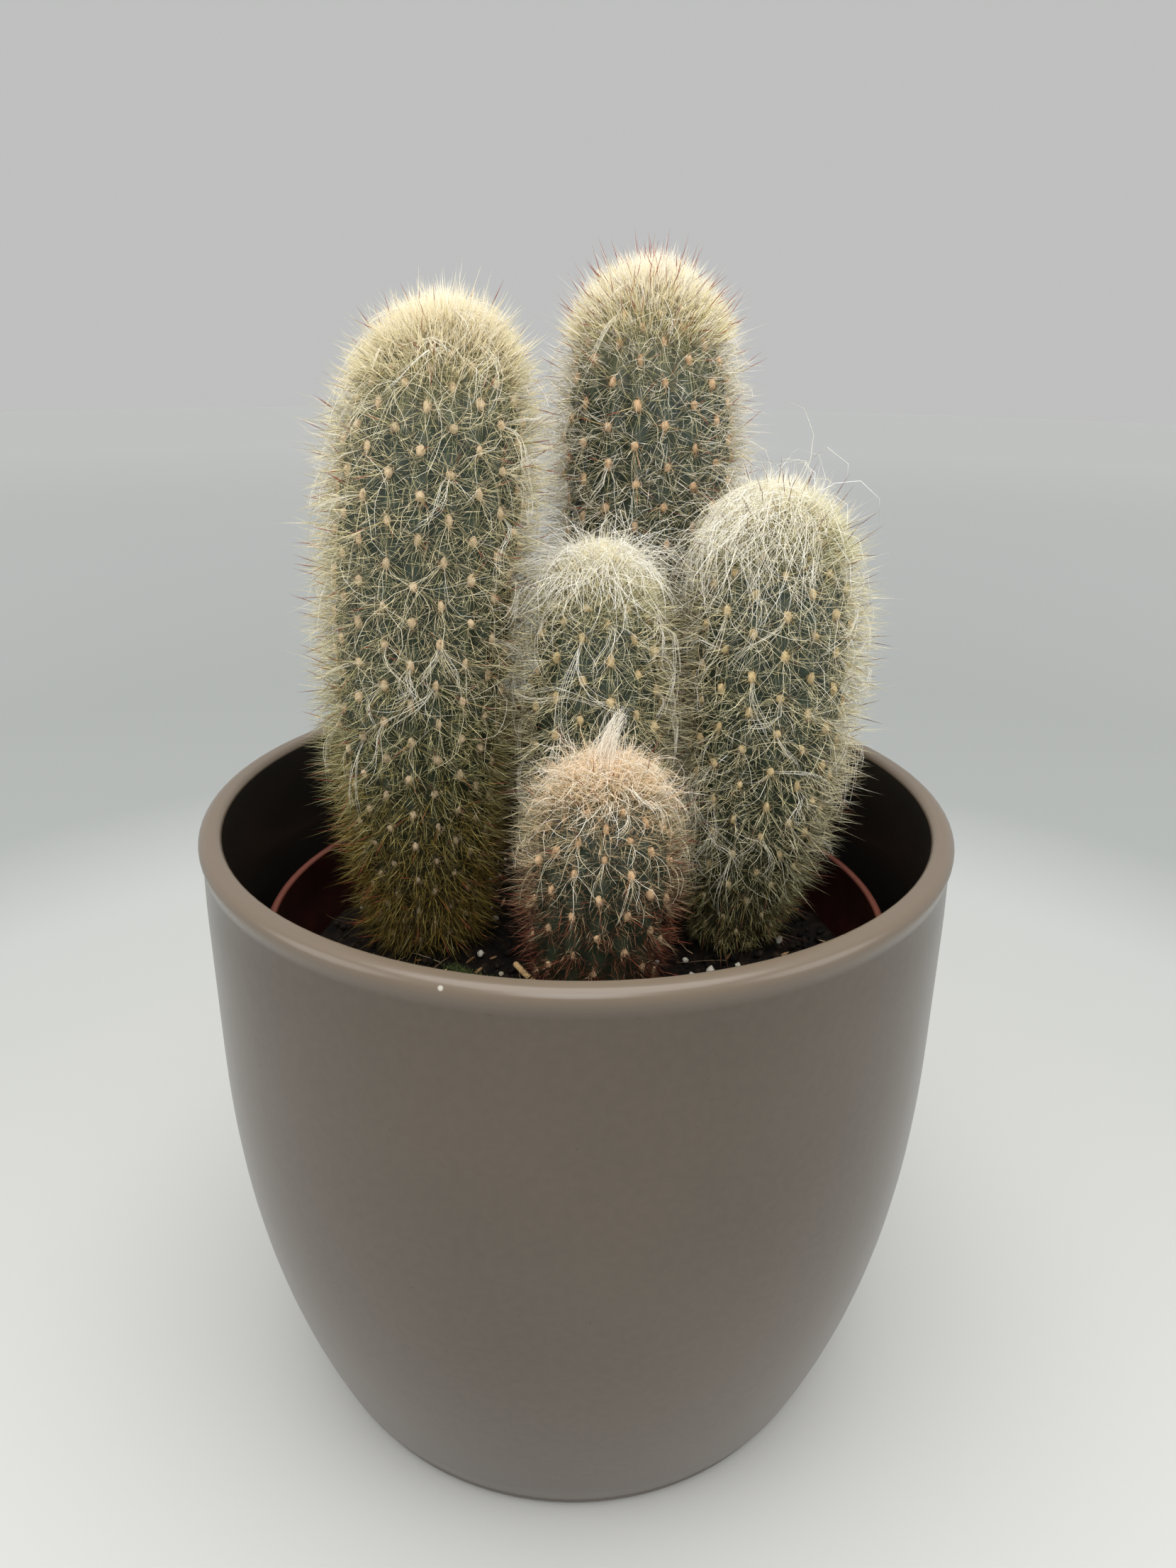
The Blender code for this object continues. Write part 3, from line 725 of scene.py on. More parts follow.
def lip_neck():
    """The lip's lower edge, which runs softly into the upright wall."""
    low = COVER_HEIGHT - LIP_HEIGHT
    high = COVER_HEIGHT - LIP_OUTER_ROUND
    points = []
    for share in np.linspace(0.15, 1, 8):
        ease = share * share * (3 - 2 * share)
        points.append((COVER_RADIUS + (LIP_NECK - COVER_RADIUS) * ease,
                       high + (low - high) * share))
    for z in np.linspace(low, BELLY_HEIGHT, 10)[1:-1]:
        back = min(1.0, (low - z) / LIP_FADE)
        points.append((LIP_NECK + (BELLY_RADIUS - LIP_NECK) * back, z))
    return points


def glaze():
    """Taupe glaze outside, lighter on the lip as a painted highlight of the light from above,
    nearly black inside, with a few specks and a chip.
    """
    look = Look("glaze", 0.24)
    colour = look.ramp(look.noise(0.05, 2.0), [(0.3, (79, 70, 61)), (0.7, (86, 76, 66))])
    clouds = look.patches(0.0016, 2.0, 0.35, 0.65, 0.12)
    specks = look.patches(0.0011, 0.0, 0.86, 0.88, 0.6)
    height = look.add("ShaderNodeSeparateXYZ", {0: look.position()})["Z"]
    # Painted highlight: the lip is lighter, (109, 96, 82), where it catches the light from above.
    lip_painted_highlight = look.scaled(height, COVER_HEIGHT - LIP_HEIGHT, COVER_HEIGHT - LIP_OUTER_ROUND)
    for share, layer in ((clouds, (104, 93, 82)), (specks, (70, 60, 52)),
                         (lip_painted_highlight, (109, 96, 82)), (look.attribute("inside"), (36, 33, 30)),
                         (chip_share(look), (190, 184, 172))):
        colour = look.mix(share, colour, layer)
    look.bump(0.012, 2.0, 0.00012, 0.5)
    return look.painted(colour)


def chip_share(look):
    """0.9 in the small chip on the lip, 0 elsewhere."""
    inputs = {0: look.position(), 1: CHIP_AT}
    distance = look.add("ShaderNodeVectorMath", inputs, operation="DISTANCE")["Value"]
    return look.scaled(distance, *CHIP_RADIUS, 0.9, 0.0)


def nursery_wall(height):
    """Outer radius of the nursery pot's tapered wall below its band."""
    bottom = COVER_FLOOR + GAP
    share = (height - bottom) / (NURSERY_TOP - NURSERY_BAND_HEIGHT - bottom)
    top = NURSERY_RADIUS - NURSERY_BAND_STEP
    return NURSERY_BASE_RADIUS + (top - NURSERY_BASE_RADIUS) * share


def nursery_inside(height):
    """Inner radius of the nursery pot at a height above its floor."""
    band = NURSERY_RADIUS - NURSERY_BAND_WALL
    return np.where(height > NURSERY_TOP - NURSERY_BAND_HEIGHT, band,
                    nursery_wall(height) - NURSERY_WALL)


def nursery_pot():
    """The thin pot, from its inner floor over the rim and down the outside, with drain holes."""
    bottom = COVER_FLOOR + GAP
    floor = bottom + NURSERY_WALL
    band = NURSERY_TOP - NURSERY_BAND_HEIGHT
    inner_top = NURSERY_RADIUS - NURSERY_BAND_WALL
    rim = NURSERY_TOP - NURSERY_RIM_ROUND
    band_in, band_up = NURSERY_BAND_EDGE
    base_in, base_up = NURSERY_BASE_EDGE
    profile = [(0.0, floor)]
    profile += [(float(nursery_inside(z)), z) for z in np.linspace(floor, band - NURSERY_SLOPE, 10)]
    profile += [(inner_top, z) for z in np.linspace(band + NURSERY_SLOPE, rim, 5)]
    inside = len(profile) - 1
    profile += arc((inner_top + NURSERY_RIM_ROUND, rim), NURSERY_RIM_ROUND, 180, 90, 4)[1:]
    profile += arc((NURSERY_RADIUS - NURSERY_RIM_ROUND, rim), NURSERY_RIM_ROUND, 90, 0, 4)
    profile += [(NURSERY_RADIUS, band + band_up), (NURSERY_RADIUS - band_in, band)]
    profile += [(nursery_wall(z), z) for z in np.linspace(band, bottom + base_up, 10)]
    profile += [(nursery_wall(bottom) - base_in, bottom), (0.0, bottom)]
    obj = turned("nursery_pot_moulded", profile, NURSERY_COLUMNS, plastic(), inside)
    cut_drains(obj, (bottom + floor) / 2)
    place(obj, "nursery_plastic", "nursery_pot")


def cut_drains(obj, height):
    """Cuts the round drain holes through the nursery pot's floor."""
    shape = bmesh.new()
    for k in range(DRAIN_HOLES):
        angle = TURN * k / DRAIN_HOLES
        at = Vector((DRAIN_CIRCLE * math.cos(angle), DRAIN_CIRCLE * math.sin(angle), height))
        bmesh.ops.create_cone(shape, cap_ends=True, segments=24, radius1=DRAIN_RADIUS,
                              radius2=DRAIN_RADIUS, depth=4 * NURSERY_WALL,
                              matrix=Matrix.Translation(at))
    mesh = bpy.data.meshes.new("drains")
    shape.to_mesh(mesh)
    shape.free()
    cutter = link("drains", mesh)
    modifier = obj.modifiers.new("drains", "BOOLEAN")
    modifier.operation = "DIFFERENCE"
    modifier.object = cutter
    graph = bpy.context.evaluated_depsgraph_get()
    made = bpy.data.meshes.new_from_object(obj.evaluated_get(graph), depsgraph=graph)
    obj.modifiers.clear()
    obj.data = made
    bpy.data.objects.remove(cutter, do_unlink=True)


def plastic():
    """Terracotta-brown moulded plastic, darker inside."""
    look = Look("nursery_plastic", 0.38)
    colour = look.ramp(look.noise(0.02), [(0.3, (108, 60, 48)), (0.7, (118, 66, 53))])
    darker_inside = look.ramp(look.noise(0.006, 4.0), [(0.35, (32, 12, 9)), (0.7, (50, 19, 14))])
    look.bump(0.0012, 2.0, 0.00005, 0.4)
    return look.painted(look.mix(look.attribute("inside"), colour, darker_inside))


# Soil


def soil_height(x, y):
    """Height of the soil's uneven top, as in part.py."""
    waves = np.sin(x * 190 + 0.7) * np.cos(y * 170 - 0.4) + 0.6 * np.sin((x + y) * 330)
    return SOIL_TOP - SOIL_RELIEF * (1.6 - waves)


def ripples(x, y, wavelength):
    """Smooth random relief of about one wavelength, mostly from -1 to 1."""
    count = 28
    bearing = draw.uniform(0, TURN, count)
    pace = TURN / (wavelength * draw.uniform(0.7, 1.4, count))
    phase = draw.uniform(0, TURN, count)
    total = np.zeros_like(x)
    for b, p, f in zip(bearing, pace, phase):
        total += np.sin((x * math.cos(b) + y * math.sin(b)) * p + f)
    return total / math.sqrt(count)


def soil():
    """The root ball: rough peat on top, plain where it lies against the nursery pot."""
    edge = float(nursery_inside(SOIL_TOP)) - GAP
    angle = TURN * np.arange(SOIL_COLUMNS) / SOIL_COLUMNS
    out = edge * (np.arange(1, SOIL_RINGS + 1) / SOIL_RINGS)[:, None]
    x, y = out * np.cos(angle), out * np.sin(angle)
    rough = sum(share * ripples(x, y, wavelength) for share, wavelength in SOIL_RIPPLES)
    top = np.stack([x, y, soil_height(x, y) + SOIL_GRAIN * (rough - 0.5)], -1)
    floor = COVER_FLOOR + NURSERY_WALL + 2 * GAP
    walls = [level_ring(angle, nursery_inside(z) - GAP, z)
             for z in np.linspace(SOIL_TOP - SOIL_EDGE, floor, 8)]
    middle = [[0, 0, float(soil_height(0.0, 0.0))]]
    points = np.concatenate([middle, top.reshape(-1, 3), *walls, [[0, 0, floor]]])
    faces = ring_faces(SOIL_COLUMNS, SOIL_RINGS + len(walls))
    place(build("soil_peat", points, faces, peat()), "soil", "soil")


def peat():
    look = Look("peat", 0.95, Specular_IOR_Level=0.15)
    stops = [(0.3, (12, 10, 8)), (0.55, (26, 21, 17)), (0.72, (54, 42, 31))]
    look.bump(0.0008, 4.0, 0.0004, 0.7)
    return look.painted(look.ramp(look.noise(0.0022, 6.0, 0.7), stops))


def free_soil(count, room=0.0005):
    """Random places on the soil, clear of the stems and the pot's wall."""
    reach = float(nursery_inside(SOIL_TOP)) - 0.002
    found = np.zeros((0, 2))
    while len(found) < count:
        angle = draw.uniform(0, TURN, count)
        out = reach * np.sqrt(draw.uniform(0, 1, count))
        tried = np.stack([out * np.cos(angle), out * np.sin(angle)], -1)
        keep = np.ones(count, bool)
        for stem in STEMS:
            away = np.linalg.norm(tried - np.array(stem.base), axis=-1)
            keep &= away > stem.radius * stem.foot + room
        found = np.concatenate([found, tried[keep]])
    return found[:count]


def on_soil(spots, lift=0.0):
    z = soil_height(spots[:, 0], spots[:, 1]) + lift
    return np.concatenate([spots, z[:, None]], axis=1)


def random_turns(count):
    """Random rotation matrices."""
    w, x, y, z = unit(draw.normal(size=(count, 4))).T
    return np.stack([
        np.stack([1 - 2 * (y * y + z * z), 2 * (x * y - w * z), 2 * (x * z + w * y)], -1),
        np.stack([2 * (x * y + w * z), 1 - 2 * (x * x + z * z), 2 * (y * z - w * x)], -1),
        np.stack([2 * (x * z - w * y), 2 * (y * z + w * x), 1 - 2 * (x * x + y * y)], -1),
    ], -2)


def flat_turns(count):
    """Random rotations that keep pieces lying nearly flat."""
    yaw = draw.uniform(0, TURN, count)
    tip = draw.normal(0, 0.25, count)
    made = [Matrix.Rotation(a, 3, "Z") @ Matrix.Rotation(b, 3, "Y") for a, b in zip(yaw, tip)]
    return np.array([[list(row) for row in m] for m in made])


def ball(divisions):
    """Points and triangles of a ball of radius 1."""
    shape = bmesh.new()
    bmesh.ops.create_icosphere(shape, subdivisions=divisions, radius=1.0)
    points = np.array([v.co for v in shape.verts])
    faces = np.array([[v.index for v in f.verts] for f in shape.faces])
    shape.free()
    return points, faces


def lump_sizes(count, least, most):
    """Uneven half widths of lumps, from a least to a greatest size in mm."""
    return draw.uniform(0.6, 1.0, (count, 3)) * draw.uniform(least, most, (count, 1)) * MM


def lumps(name, spots, sizes, divisions, roughness, colours, grain, sink=0.35, turns=None):
    """Rough lumps at spots (n, 3) with half widths (n, 3), in one piece."""
    points, faces = ball(divisions)
    count = len(spots)
    made = points * (1 + roughness * draw.normal(size=(count, len(points), 1))) * sizes[:, None]
    if turns is None:
        turns = random_turns(count)
    made = np.einsum("nij,nkj->nki", turns, made) + spots[:, None]
    made[..., 2] += (1 - sink) * sizes.min(axis=1)[:, None] * 0.5
    tone = np.repeat(draw.uniform(0, 1, count), len(points))
    material = crumb_material(name, colours, grain)
    place(build(f"soil_{name}", made.reshape(-1, 3), [repeated(faces, count, len(points))],
                material, {"tone": tone}), "soil")


def crumb_material(name, colours, size):
    """Colour by each lump's tone, with darker spots of about a size."""
    look = Look(name, 0.9, Specular_IOR_Level=0.2)
    colour = look.even_ramp(look.attribute("tone"), colours)
    spots = look.patches(size, 4.0, 0.3, 0.7, 0.5)
    return look.painted(look.mix(spots, colour, [c * 0.45 for c in colours[0]]))


def crumbs():
    """Crumbs of peat."""
    spots = on_soil(free_soil(CRUMBS))
    colours = ((14, 11, 9), (30, 24, 18), (52, 40, 29))
    lumps("crumbs", spots, lump_sizes(CRUMBS, 0.3, 1.2), 1, 0.16, colours, 0.0006)


def perlite():
    """White crumbs at random, and the big ones that the photograph shows."""
    spots = on_soil(np.concatenate([free_soil(SMALL_PERLITE, 0.0015), BIG_CRUMBS]))
    sizes = lump_sizes(len(spots), 0.35, 0.85)
    sizes[-len(BIG_CRUMBS):] *= 1.5
    colours = ((196, 184, 158), (214, 206, 186), (226, 222, 208))
    lumps("perlite", spots, sizes, 2, 0.10, colours, 0.0005, sink=0.2)


def bark():
    """Thin flakes that lie nearly flat."""
    spots = on_soil(free_soil(BARK_FLAKES), 0.0002)
    sizes = draw.uniform(0.6, 1.0, (BARK_FLAKES, 3)) * np.array(BARK_SIZE) * MM
    colours = ((98, 68, 44), (148, 110, 74), (200, 168, 124))
    lumps("bark", spots, sizes, 2, 0.12, colours, 0.0006, turns=flat_turns(BARK_FLAKES))


def rootlets():
    """Fine roots that curl over the soil and up the nursery pot's wall."""
    count, knots = ROOTLETS, 14
    spots = on_soil(free_soil(count, 0.001), 0.0005)
    bearing = draw.uniform(0, TURN, count)
    bend = draw.normal(0, 0.35, (count, knots)).cumsum(axis=1) * 0.5
    lift = draw.normal(0, 0.25, (count, knots)).cumsum(axis=1) * 0.35
    step = draw.uniform(0.0004, 0.0010, count)[:, None]
    heading = np.stack([np.cos(bearing[:, None] + bend), np.sin(bearing[:, None] + bend),
                        np.sin(lift)], -1)
    paths = keep_clear(None, spots[:, None] + (heading * step[..., None]).cumsum(axis=1))
    made = Strands()
    made.add(paths, draw.uniform(0.00006, 0.00012, count), draw.uniform(0, 1, count), thin=0.5)
    colours = ((110, 80, 52), (172, 142, 102), (222, 200, 166))
    made.finish("soil_rootlets", "soil", strand_material("rootlets", colours, roughness=0.8))


def moss():
    """A low patch of moss by the left stem's foot."""
    start, end = np.array(MOSS_ENDS)
    share = draw.uniform(-0.1, 1.1, MOSS_STRANDS)[:, None]
    spots = start + (end - start) * share + draw.normal(0, 0.0011, (MOSS_STRANDS, 2))
    spots = spots[np.linalg.norm(spots - np.array(STEMS[0].base), axis=-1) > 0.0095]
    heading = unit(draw.normal(0, 0.5, (len(spots), 3)) + UP)
    length = draw.uniform(0.0007, 0.0016, len(spots))
    paths = straight(on_soil(spots, -0.0002), heading, length, (0.0, 0.55, 1.0))
    paths[:, 2, 2] -= 0.0002
    made = Strands()
    made.add(paths, 0.00013, draw.uniform(0, 1, len(spots)), thin=0.3)
    colours = ((34, 42, 14), (62, 74, 26), (96, 106, 44))
    made.finish("soil_moss", "soil", strand_material("moss", colours, roughness=0.8))


def straw():
    """A cut hollow straw, slightly flattened and creased, lying where the CAD straw lies."""
    sides, steps = 20, 26
    along = np.array([math.cos(STRAW_BEARING), math.sin(STRAW_BEARING), 0.0])
    across = np.array([-along[1], along[0], 0.0])
    reach = np.linspace(-0.5, 0.5, steps + 1)
    track = np.array([*STRAW_MIDDLE, 0.0]) + along * (STRAW_LENGTH * reach)[:, None]
    rest = float(soil_height(track[:, 0], track[:, 1]).max()) + STRAW_RADIUS + GAP
    track[:, 2] = rest + 0.0001 * np.sin(reach * 9)
    angle = TURN * np.arange(sides) / sides
    crease = 1 + 0.05 * np.cos(angle * 3 + 1)
    wide, high = STRAW_FLAT
    section = across * np.cos(angle)[:, None] * wide + UP * np.sin(angle)[:, None] * high
    outer = [at + STRAW_RADIUS * (1 + 0.04 * math.sin(k * 1.7)) * crease[:, None] * section
             for k, at in enumerate(track)]
    inner = [row + (at - row) * 0.3 for at, row in zip(track, outer)]
    rings = outer + inner[::-1]
    near, far = beside(sides)
    quads = [np.stack([near + a, near + b, far + b, far + a], -1)
             for a, b in sides * np.stack(beside(len(rings)), -1)]
    obj = build("straw_stalk", np.concatenate(rings), [np.concatenate(quads)], straw_material())
    place(obj, "straw", "straw")


def straw_material():
    look = Look("straw", 0.6)
    colour = look.ramp(look.noise(0.0007), [(0.3, (200, 160, 108)), (0.7, (240, 206, 152))])
    look.bump(0.0003, 2.0, 0.00006, 0.6)
    return look.painted(colour)


# Stems


def areole_step(down):
    """Distance from one row of areoles to the next down the stem, which is on the ribs between."""
    share = min(1.0, down / AREOLE_FULL)
    return (AREOLE_PITCH_AT_TIP + (AREOLE_PITCH - AREOLE_PITCH_AT_TIP) * share) / 2


def areoles(stem):
    """Places of the areoles, as (down, turn), in rows on every other rib by turns."""
    downs, turns = [], []
    row, down = 0, AREOLE_FIRST
    while down < stem.length - 0.0015:
        ribs = np.arange(row % 2, stem.ribs, 2)
        downs.append(np.full(len(ribs), down))
        turns.append(ribs / stem.ribs)
        down += areole_step(down)
        row += 1
    downs, turns = np.concatenate(downs), np.concatenate(turns)
    downs = np.maximum(downs + draw.normal(0, AREOLE_JITTER, len(downs)), 0.0004)
    girth = TURN * np.maximum(stem.radius_down(downs), 0.001)
    return downs, turns + draw.normal(0, AREOLE_JITTER, len(turns)) / girth


def row_phase(stem, down):
    """A number that grows by 1 from one row of areoles to the next down the stem."""
    downs = [0.0, AREOLE_FIRST]
    while downs[-1] < stem.length + 0.01:
        downs.append(downs[-1] + areole_step(downs[-1]))
    return np.interp(down, downs, np.arange(len(downs)) - 1.0)


def relief(stem, down, turn):
    """How near each point is to a rib's crest, and how far out the ribs and tubercles put it."""
    rib = turn * stem.ribs
    crest = 1 - (np.abs(rib - np.round(rib)) * 2) ** 2.2
    at_areole = 0.5 + 0.5 * np.cos(math.pi * (row_phase(stem, down) - np.round(rib) % 2))
    strength = np.clip(down / 0.012, 0, 1) * np.clip((stem.length - down) / 0.006, 0, 1)
    out = strength * (RIB_DEPTH * (crest - 1) + TUBERCLE_DEPTH * crest * (2 * at_areole - 1))
    return crest, out


def stem_body(stem):
    """The ribbed green body with a low bump under each areole, and its stub in the soil."""
    columns = stem.ribs * 5
    rows = np.concatenate([np.linspace(0, 1, 12)[1:] ** 1.3 * 0.006,
                           np.arange(0.0078, stem.length, 0.0019)])
    turn = np.arange(columns) / columns
    down = np.repeat(rows[:, None], columns, axis=1)
    turns = np.repeat(turn[None], len(rows), axis=0)
    crest, out = relief(stem, down, turns)
    stub_radius = stem.radius * stem.foot * STUB_SHARE
    stub = [level_ring(TURN * turn, stub_radius, SOIL_TOP - depth, stem.base)
            for depth in (0.0, STUB_DEPTH)]
    points = np.concatenate([stem.point(np.zeros(1), np.zeros(1)),
                             stem.point(down, turns, out).reshape(-1, 3), *stub,
                             [[*stem.base, SOIL_TOP - STUB_DEPTH]]])
    below = np.zeros(len(stub) * columns + 1)
    values = {"crest": np.concatenate([[1.0], crest.ravel(), below]),
              "climb": np.concatenate([[1.0], (1 - down / stem.length).ravel(), below])}
    faces = ring_faces(columns, len(rows) + len(stub))
    obj = build(f"stem_{stem.name}_body", points, faces, flesh(stem), values)
    place(obj, "stem", f"stem_{stem.name}")


def flesh(stem):
    """Dark green skin and a corky brown foot, with painted shade in the rib grooves and on the
    foot, and a painted highlight towards the tip.
    """
    look = Look(f"flesh_{stem.name}", 0.5)
    # By height: the brown at the foot is darkened by painted shade, and the pale stops from 0.91 up
    # to the tip are a painted highlight of the light from above.
    colour = look.ramp(look.attribute("climb"), [
        (0.0, (58, 48, 28)), (0.16, (54, 54, 32)), (0.34, (48, 60, 42)), (0.8, (44, 60, 46)),
        (0.91, (120, 122, 84)), (1.0, (200, 188, 142))])
    mottled = look.patches(0.0016, 4.0, 0.3, 0.7, 0.45)
    # Painted shade in the grooves between the ribs, darkened towards (14, 20, 15).
    groove_painted_shade = look.scaled(look.attribute("crest"), 0.0, 0.9, 0.75, 0.0)
    colour = look.mix(mottled, colour, (32, 42, 30))
    colour = look.mix(groove_painted_shade, colour, (14, 20, 15))
    look.bump(0.0005, 3.0, 0.0001, 0.5)
    return look.painted(colour)


def felt(stem):
    """The woolly cushions' colour, shared by their pads and the felt on them."""
    colour = AREOLE_COLOURS[stem.palette]
    shades = ([c * 0.72 for c in colour], colour, [min(255, c * 1.1) for c in colour])
    return strand_material(f"felt_{stem.name}", shades, roughness=0.9)


def areole_growth(stem, down):
    """The size of areoles, as a share of the usual: less near the tip and at the foot."""
    return (0.55 + 0.45 * np.clip(down / 0.02, 0, 1)) * (1 - 0.45 * stem.age(down))


def areole_pads(stem, downs, turns, material):
    """A woolly cushion on each areole."""
    points, faces = ball(1)
    count = len(downs)
    normal, around, along = (way[:, None] for way in stem.facing(downs, turns))
    sizes = np.array(AREOLE_SIZE) * draw.uniform(0.8, 1.2, (count, 3))
    sizes = sizes * areole_growth(stem, downs)[:, None]
    shape = points * (1 + 0.12 * draw.normal(size=(count, len(points), 1))) * sizes[:, None]
    made = (stem.point(downs, turns, AREOLE_SEAT)[:, None] + shape[..., :1] * around
            + shape[..., 1:2] * along + shape[..., 2:] * normal)
    tone = np.repeat(draw.uniform(0.3, 0.9, count) * (1 - 0.9 * stem.age(downs)), len(points))
    place(build(f"stem_{stem.name}_areoles", made.reshape(-1, 3),
                [repeated(faces, count, len(points))], material, {"tone": tone}), "stem")


def areole_felt(stem, downs, turns, material):
    """Short felt that stands out of each areole's cushion."""
    down, turn = downs.repeat(FELT_HAIRS), turns.repeat(FELT_HAIRS)
    normal, around, along = stem.facing(down, turn)
    spot = draw.normal(0, 0.7, (len(down), 2)) * np.array(AREOLE_SIZE[:2])
    roots = stem.point(down, turn, AREOLE_SEAT) + around * spot[:, :1] + along * spot[:, 1:]
    heading = unit(0.7 * normal + 0.7 * draw.normal(size=normal.shape))
    length = draw.uniform(*FELT_LENGTH, len(down)) * areole_growth(stem, down)
    made = Strands()
    made.add(straight(roots, heading, length), FELT_RADIUS,
             draw.uniform(0, 1, len(down)) * (1 - 0.9 * stem.age(down)))
    made.finish(f"stem_{stem.name}_felt", "stem", material)


def finish_on_stem(made, stem, kind, colours, **ends):
    """Makes one stem's strands of a kind into a piece."""
    material = strand_material(f"{kind}_{stem.name}", colours, **ends)
    made.finish(f"stem_{stem.name}_{kind}", "stem", material)


def spine_tone(stem, downs, paler):
    """Tone by place: brown near the foot, khaki at mid height, pale towards the crown."""
    young = np.clip((stem.height_at(downs) - 0.4 * stem.old) / (1.1 * stem.old), 0, 1)
    crown = np.clip(1 - downs / (0.16 * stem.length), 0, 1)
    tone = 0.08 + 0.52 * young + 0.18 * crown + paler
    return np.clip(tone + draw.normal(0, 0.09, len(downs)), 0.02, 0.98)


def radial_spines(stem, downs, turns, fan, paler):
    """Spines that fan out from each areole, as (roots, middles, tips, radius, tone)."""
    count = len(downs) * fan.each
    lowest = stem.length - 0.001
    down = downs.repeat(fan.each) + draw.normal(0, fan.scatter, count)
    down = np.where(down > lowest, 2 * lowest - down, down)
    turn = turns.repeat(fan.each) + draw.normal(0, fan.scatter, count) / (TURN * stem.radius)
    off_tip = np.maximum(down, 0.0002)
    normal, around, along = stem.facing(off_tip, turn)
    order = np.tile(np.arange(fan.each), len(downs)) + draw.normal(0, 0.6, count)
    bearing = (TURN * order / fan.each)[:, None]
    lift = np.radians(draw.uniform(*fan.lift, count))[:, None]
    age = stem.age(down)
    flat = around * np.cos(bearing) + along * np.sin(bearing)
    heading = flat * np.cos(lift) + normal * np.sin(lift)
    heading = unit(heading + (0.45 * age)[:, None] * along)
    growth = 0.75 + 0.25 * np.clip(down / 0.012, 0, 1)
    length = draw.uniform(*fan.length, count) * growth * stem.fur * (1 + (stem.skirt - 1) * age)
    root = stem.point(off_tip, turn, 0.0001)
    share = np.array([0.0, 0.45, 1.0])
    bend = draw.normal(0, fan.bent, (count, 3)) - 0.10 * normal
    paths = keep_clear(stem, straight(root, heading, length, share)
                       + bend[:, None] * (length[:, None] * share**2)[..., None], SPINE_ROOM)
    radius = fan.thick * (SPINE_RADIUS * draw.uniform(0.8, 1.2, count))
    return paths[:, 0], paths[:, 1], paths[:, 2], radius, spine_tone(stem, down, paler)


def spines(stem, downs, turns):
    """A net of long spines that lie over the body, and the upright ones that make its fur."""
    made = Strands()
    made.add_spindles(*radial_spines(stem, downs, turns, NET, 0.0))
    for fan, paler, starts in ((UNDER_NET, -0.02, 0.0), (FUR, stem.paler, ROOT_TINT_END)):
        root, _, tip, radius, tone = radial_spines(stem, downs, turns, fan, paler)
        made.add_slivers(root, tip, radius, tone, starts)
    finish_on_stem(made, stem, "spines", SPINE_COLOURS[stem.palette],
                   root=AREOLE_COLOURS[stem.palette])


def central_spines(stem, downs, turns):
    """One or two stiff dark-tipped spines on each areole, which stand out past the rest."""
    likely = 0.85 * np.clip(stem.bristles / 90 + downs / 0.032, 0, 1)
    keep = draw.uniform(0, 1, len(downs)) < likely
    down, turn = downs[keep].repeat(2), turns[keep].repeat(2)
    some = draw.uniform(0, 1, len(down)) < 0.75
    down, turn = down[some], turn[some]
    normal, around, along = stem.facing(down, turn)
    lean = draw.normal(0, 0.42, (len(down), 2))
    heading = unit(normal + around * lean[:, :1] + along * (lean[:, 1:] - 0.15))
    length = draw.uniform(*CENTRAL_LENGTH, len(down)) * stem.fur
    paths = straight(stem.point(down, turn), heading, length, np.linspace(0, 1, 4))
    made = Strands()
    made.add(keep_clear(stem, paths), draw.uniform(*CENTRAL_RADIUS, len(down)),
             spine_tone(stem, down, -0.12), thin=0.3)
    if stem.bristles:
        made.add(*crown_bristles(stem))
    finish_on_stem(made, stem, "centrals", SPINE_COLOURS[stem.palette],
                   tip=CENTRAL_COLOURS[stem.palette])


def crown_bristles(stem):
    """Long bristles on the tip, set evenly over it by the golden angle as in part.py."""
    count = stem.bristles
    golden = (3 - math.sqrt(5)) / 2
    order = np.arange(count)
    down = 0.0006 + BRISTLE_REACH * np.sqrt((order + 0.5) / count)
    turn = (order * golden) % 1.0
    heading = unit(stem.facing(down, turn)[0] + 0.35 * UP + 0.25 * draw.normal(size=(count, 3)))
    length = draw.uniform(*BRISTLE_LENGTH, count)
    paths = straight(stem.point(down, turn), heading, length, np.linspace(0, 1, 4))
    return paths, draw.uniform(*BRISTLE_RADIUS, count), draw.uniform(0.4, 0.7, count), 0.2


# Hairs and wool


def draped(stem, down, turn, length, knots, heading, curl, out, member=0.0):
    """Hairs that lie over the spines: they set off in a heading from straight down.

    heading, curl, out and member have a value a hair. curl is (amplitude, waves, phase), and
    member is how far a lock's hair lies outside the lock's middle.
    """
    amplitude, waves, phase = curl
    step = length / (knots - 1)
    places, here, side = [], down.copy(), turn.copy()
    for k in range(knots):
        share = k / (knots - 1)
        rise = out * (1 - np.exp(-5.0 * share)) + member * share * (1 - 0.5 * share)
        places.append(stem.point(np.maximum(here, TIP_CLEAR), side, np.maximum(rise, BODY_ROOM)))
        now = heading + amplitude * np.sin(TURN * waves * share + phase)
        here = here + step * np.cos(now)
        girth = TURN * (stem.radius_down(np.maximum(here, 0.0)) + rise)
        side = side + step * np.sin(now) / np.maximum(girth, 0.004)
    return np.stack(places, axis=1)


def wisps(stem, downs, turns):
    """Single wavy hairs, as (paths, radius, tone, thin)."""
    count = stem.wisps
    picked = draw.integers(0, len(downs), count)
    curl = [draw.uniform(*limits, count) for limits in WISP_CURL]
    length = draw.uniform(*WISP_LENGTH, count) * stem.hair_share()
    paths = draped(stem, downs[picked], turns[picked], length, 6, draw.normal(0, 1.1, count),
                   curl, draw.uniform(*WISP_OUT, count) * stem.fur)
    return (keep_clear(stem, paths), HAIR_RADIUS * draw.uniform(0.8, 1.4, count),
            draw.uniform(0.0, 0.8, count), 0.5)


